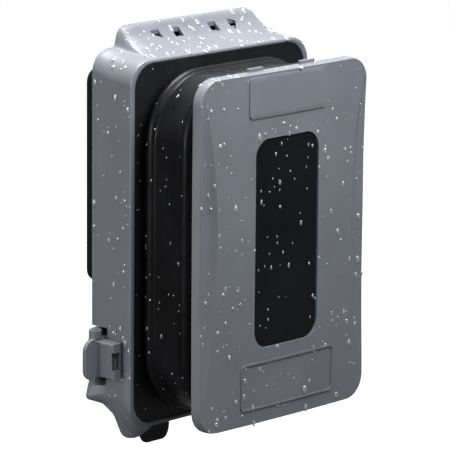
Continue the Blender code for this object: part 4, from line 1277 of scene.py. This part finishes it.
@dataclass
class Studio:
    """Camera, lamps, world and floor."""

    azimuth: float = 45.782
    elevation: float = 12.175
    roll: float = 0.5
    distance: float = 1.674
    focal_pixels: float = 3542.5
    target: Triple = (-3.3 * MM, -34.58 * MM, 4.1 * MM + HOOD_CENTRE_Z)
    sensor: float = 36.0
    reach: float = 20.0
    lamps: tuple[Lamp, ...] = (
        Lamp("overhead_softbox", (0.12, 0.12, 1.5), 0.9, 51.0),
        Lamp("left_softbox", (-1.7, 0.1, 0.15), 1.0, 17.0),
        Lamp("front_softbox", (0.0, -0.34, 0.32), 0.25, 2.9),
        Lamp("sparkle_lamp", (-0.9, -1.2, 1.3), 0.12, 2.0))
    dim_sky: Triple = (0.055, 0.057, 0.062)
    floor_drop: float = 60 * MM
    floor_size: float = 12.0
    floor_bounce: float = 0.05
    floor_glow: float = 0.75

    def camera(self) -> None:
        """Stand the camera where the photograph was taken from."""
        az, el, roll = (math.radians(value) for value in (self.azimuth, self.elevation, self.roll))
        ahead = Vector((math.sin(az) * math.cos(el), math.cos(az) * math.cos(el), -math.sin(el)))
        right = ahead.cross(Vector((0.0, 0.0, 1.0))).normalized()
        up = right.cross(ahead)
        turned_right = right * math.cos(roll) + up * math.sin(roll)
        turned_up = up * math.cos(roll) - right * math.sin(roll)
        place = Vector(self.target) - ahead * self.distance
        data = bpy.data.cameras.new("camera")
        data.lens = self.focal_pixels * self.sensor / FRAME_PIXELS
        data.sensor_width = self.sensor
        data.clip_end = self.reach
        camera = bpy.data.objects.new("camera", data)
        turn = Matrix((turned_right, turned_up, -ahead)).transposed().to_4x4()
        camera.matrix_world = Matrix.Translation(place) @ turn
        bpy.context.scene.collection.objects.link(camera)
        bpy.context.scene.camera = camera

    def sky(self, tree: NodeTree, way: Triple, span: Pair) -> Socket:
        """Return how bright the sky is by how far a ray looks one way.

        Args:
            tree: The world's nodes.
            way: The direction in which it is brightest.
            span: How far along that direction it begins to brighten and is fully bright.

        Returns:
            The brightness socket, 0 to 1.
        """
        along = tree.add("ShaderNodeVectorMath", operation="DOT_PRODUCT")
        along.inputs[1].default_value = way
        tree.join(tree.add("ShaderNodeTexCoord").outputs["Generated"], along.inputs[0])
        return tree.spread(along.outputs["Value"], (0.0, 1.0), span)

    def greater(self, tree: NodeTree, first: Socket, second: Socket) -> Socket:
        """Return the greater of two values.

        Args:
            tree: The nodes.
            first: One value.
            second: The other value.

        Returns:
            The socket of the greater one.
        """
        node = tree.add("ShaderNodeMath", operation="MAXIMUM")
        tree.join(first, node.inputs[0])
        tree.join(second, node.inputs[1])
        return node.outputs["Value"]

    def world(self) -> None:
        """Fill the surroundings: pale overhead and behind the cover, dim in front."""
        tree = NodeTree(bpy.data.worlds.new("surroundings"), "Background")
        bpy.context.scene.world = tree.owner
        brighter = self.greater(tree, self.sky(tree, (0.0, 0.5, 0.87), (0.25, 0.9)),
                                self.sky(tree, (0.7, 0.7, 0.0), (0.45, 0.9)))
        paths = tree.add("ShaderNodeLightPath").outputs
        mix = tree.add("ShaderNodeMix", data_type="RGBA")
        tree.fix({"B": (*WHITE, 1.0)}, mix)
        white = self.greater(tree, paths["Is Camera Ray"], paths["Is Transmission Ray"])
        tree.join(white, mix.inputs["Factor"])
        tree.join(tree.ramp(brighter, self.dim_sky, WHITE, (0.0, 1.0)), mix.inputs["A"])
        tree.drive("Color", mix.outputs["Result"])
        tree.fix({"Strength": 1.0})

    def floor(self) -> None:
        """Lay the pale floor under the cover."""
        deselect_everything()
        low = CAD_BOX[0][2] - self.floor_drop
        bpy.ops.mesh.primitive_plane_add(size=self.floor_size, location=(0.0, 0.0, low))
        floor = bpy.context.active_object
        floor.name = "pale_floor"
        settle(floor)
        tree = NodeTree(bpy.data.materials.new("pale_floor_paint"))
        paths = tree.add("ShaderNodeLightPath")
        paint = tree.add("ShaderNodeMix", data_type="RGBA")
        tree.fix({"A": (*[self.floor_bounce] * 3, 1.0)}, paint)
        tree.join(paths.outputs["Is Camera Ray"], paint.inputs["Factor"])
        tree.join(tree.ramp(tree.noise(3.0, 2.0), (0.86, 0.86, 0.86), (0.9, 0.9, 0.9)), paint.inputs["B"])
        tree.drive("Base Color", paint.outputs["Result"])
        tree.fix({"Roughness": 0.8})
        glow = tree.add("ShaderNodeEmission")
        mix = tree.add("ShaderNodeMixShader")
        share = tree.add("ShaderNodeMath", operation="MULTIPLY")
        share.inputs[1].default_value = self.floor_glow
        tree.join(paths.outputs["Is Camera Ray"], share.inputs[0])
        tree.join(share.outputs["Value"], mix.inputs["Fac"])
        tree.join(tree.shader.outputs["BSDF"], mix.inputs[1])
        tree.join(glow.outputs["Emission"], mix.inputs[2])
        tree.join(mix.outputs["Shader"], tree.nodes["Material Output"].inputs["Surface"])
        dress(floor, tree.owner)

    def build(self) -> None:
        """Set up the whole studio."""
        bpy.context.scene.view_settings.view_transform = "Standard"
        self.camera()
        self.world()
        for lamp in self.lamps:
            lamp.hang(self.target)
        self.floor()


@dataclass(frozen=True)
class Shower:
    """One scatter of drops: what they fall on, from which box and which way, how many and how big."""

    name: str
    under: str
    body: Body
    count: int
    area: tuple[Triple, Triple]
    towards: Vector
    sizes: Pair


@dataclass
class Rain:
    """Drops of water that sit on the surfaces, seeded so that each run is alike."""

    finishes: Finishes
    bellows: Bellows
    seed: int = 7
    fine: float = 0.35 * MM
    few_big: float = 2.7
    steepest: float = -0.6
    window_margin: float = 4.0 * MM
    retainer_strip: float = 14.0 * MM

    def dome(self, around: int = 12, rows: int = 3) -> tuple[list[Vector], list[tuple[int, ...]]]:
        """Return the vertices and faces of one unit drop, flat side on the surface.

        Args:
            around: Vertices round the drop.
            rows: Rings between edge and top.

        Returns:
            Vertices and faces.
        """
        vertices = [Vector((0.0, 0.0, -0.25))]
        faces = []
        for row in range(rows):
            angle = math.radians(-12 + 88 * row / rows)
            for step in range(around):
                turn = 2 * math.pi * step / around
                vertices.append(Vector((math.cos(turn) * math.cos(angle), math.sin(turn) * math.cos(angle),
                                        math.sin(angle))))
        vertices.append(Vector((0.0, 0.0, 1.0)))
        for step in range(around):
            after = (step + 1) % around
            faces.append((0, 1 + after, 1 + step))
            for row in range(rows - 1):
                low, high = 1 + row * around, 1 + (row + 1) * around
                faces.append((low + step, low + after, high + after, high + step))
            last = 1 + (rows - 1) * around
            faces.append((last + step, last + after, len(vertices) - 1))
        return vertices, faces

    def scatter(self, shower: Shower, salt: int) -> Piece:
        """Scatter drops over a part of a surface.

        Args:
            shower: What falls where.
            salt: Added to the seed.

        Returns:
            All drops as one piece.
        """
        chance = random.Random(self.seed + salt)
        surface = bpy.data.objects[shower.under]
        tree = BVHTree.FromObject(surface, bpy.context.evaluated_depsgraph_get())
        unit, unit_faces = self.dome()
        vertices, faces = [], []
        low, high = (Vector(corner) for corner in shower.area)
        for axis in range(3):
            if shower.towards[axis]:
                low[axis] = high[axis] = -RAY_START * shower.towards[axis]
        smallest, largest = shower.sizes
        for _ in range(shower.count):
            start = Vector(tuple(chance.uniform(low[axis], high[axis]) for axis in range(3)))
            radius = smallest + (largest - smallest) * chance.random() ** self.few_big
            stretch = 1.0 + chance.random() * 1.1
            squat = 0.45 + 0.25 * chance.random()
            hit, normal, _, _ = tree.ray_cast(start, shower.towards)
            if hit is None or normal.dot(shower.towards) > self.steepest:
                continue
            down = DOWN - normal * DOWN.dot(normal)
            along = down.normalized() if down.length > 0.1 else normal.orthogonal().normalized()
            across = normal.cross(along)
            base = len(vertices)
            for point in unit:
                spread = along * point.x * radius * stretch + across * point.y * radius
                vertices.append(hit + spread + normal * point.z * radius * squat)
            faces += [tuple(base + index for index in face) for face in unit_faces]
        piece = laid_piece(shower.name, vertices, faces)
        smooth(piece, 80.0)
        return piece

    def showers(self) -> tuple[Shower, ...]:
        """Return the scatters on panel, window, hood, bellows and retainer, in their order.

        Returns:
            One shower for each surface.
        """
        panel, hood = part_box("front_panel"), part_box("hood_shell")
        lens_low, lens_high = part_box("window_lens")
        low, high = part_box("bellows")
        edge, strip = self.window_margin, self.retainer_strip
        lens = ((lens_low.x + edge, 0.0, lens_low.z + edge), (lens_high.x - edge, 0.0, lens_high.z - edge))
        folds = ((0.0, low.y + 3 * MM, low.z), (0.0, hood[0].y - 1 * MM, high.z))
        ring = ((low.x, 0.0, low.z), (low.x + strip, 0.0, high.z))
        return (
            Shower("rain_on_panel", "panel_shell", Body.PANEL, 260, panel, AHEAD, (self.fine, 1.25 * MM)),
            Shower("rain_on_window", "window_pane", Body.PANEL, 46, lens, AHEAD, (self.fine, 0.75 * MM)),
            Shower("rain_on_hood_side", "hood_skin", Body.HOOD, 80, hood, RIGHT, (self.fine, 1.0 * MM)),
            Shower("rain_on_hood_top", "hood_skin", Body.HOOD, 130, hood, DOWN, (self.fine, 1.5 * MM)),
            Shower("rain_on_panel_top", "panel_shell", Body.PANEL, 26, panel, DOWN, (0.5 * MM, 1.3 * MM)),
            Shower("rain_on_bellows", "bellows_skin", Body.HOOD, 52, folds, RIGHT, (0.3 * MM, 0.65 * MM)),
            Shower("rain_on_retainer", "retainer_ring", Body.HOOD, 20, ring, AHEAD, (0.25 * MM, 0.5 * MM)),
        )

    def build(self) -> None:
        """Scatter the drops and hand them over."""
        for salt, shower in enumerate(self.showers()):
            piece = self.scatter(shower, salt)
            hand_over(piece, self.finishes.water, shower.body, Slot.WINDOW)
            if shower.under == "bellows_skin":
                self.bellows.tie(piece)


def main() -> None:
    """Dress the cover and set up the studio."""
    logging.basicConfig(level=logging.INFO, format="%(message)s")
    finishes = Finishes()
    BaseAssembly(finishes).build()
    HoodAssembly(finishes).build()
    SideLatch(finishes).build()
    CordFlap(finishes, "cord_flap_left", Body.LEFT_FLAP).build()
    CordFlap(finishes, "cord_flap_right", Body.RIGHT_FLAP).build()
    bellows = Bellows(finishes)
    bellows.build()
    PanelAssembly(finishes).build()
    Rain(finishes, bellows).build()
    Studio().build()


if __name__ == "__main__":
    main()
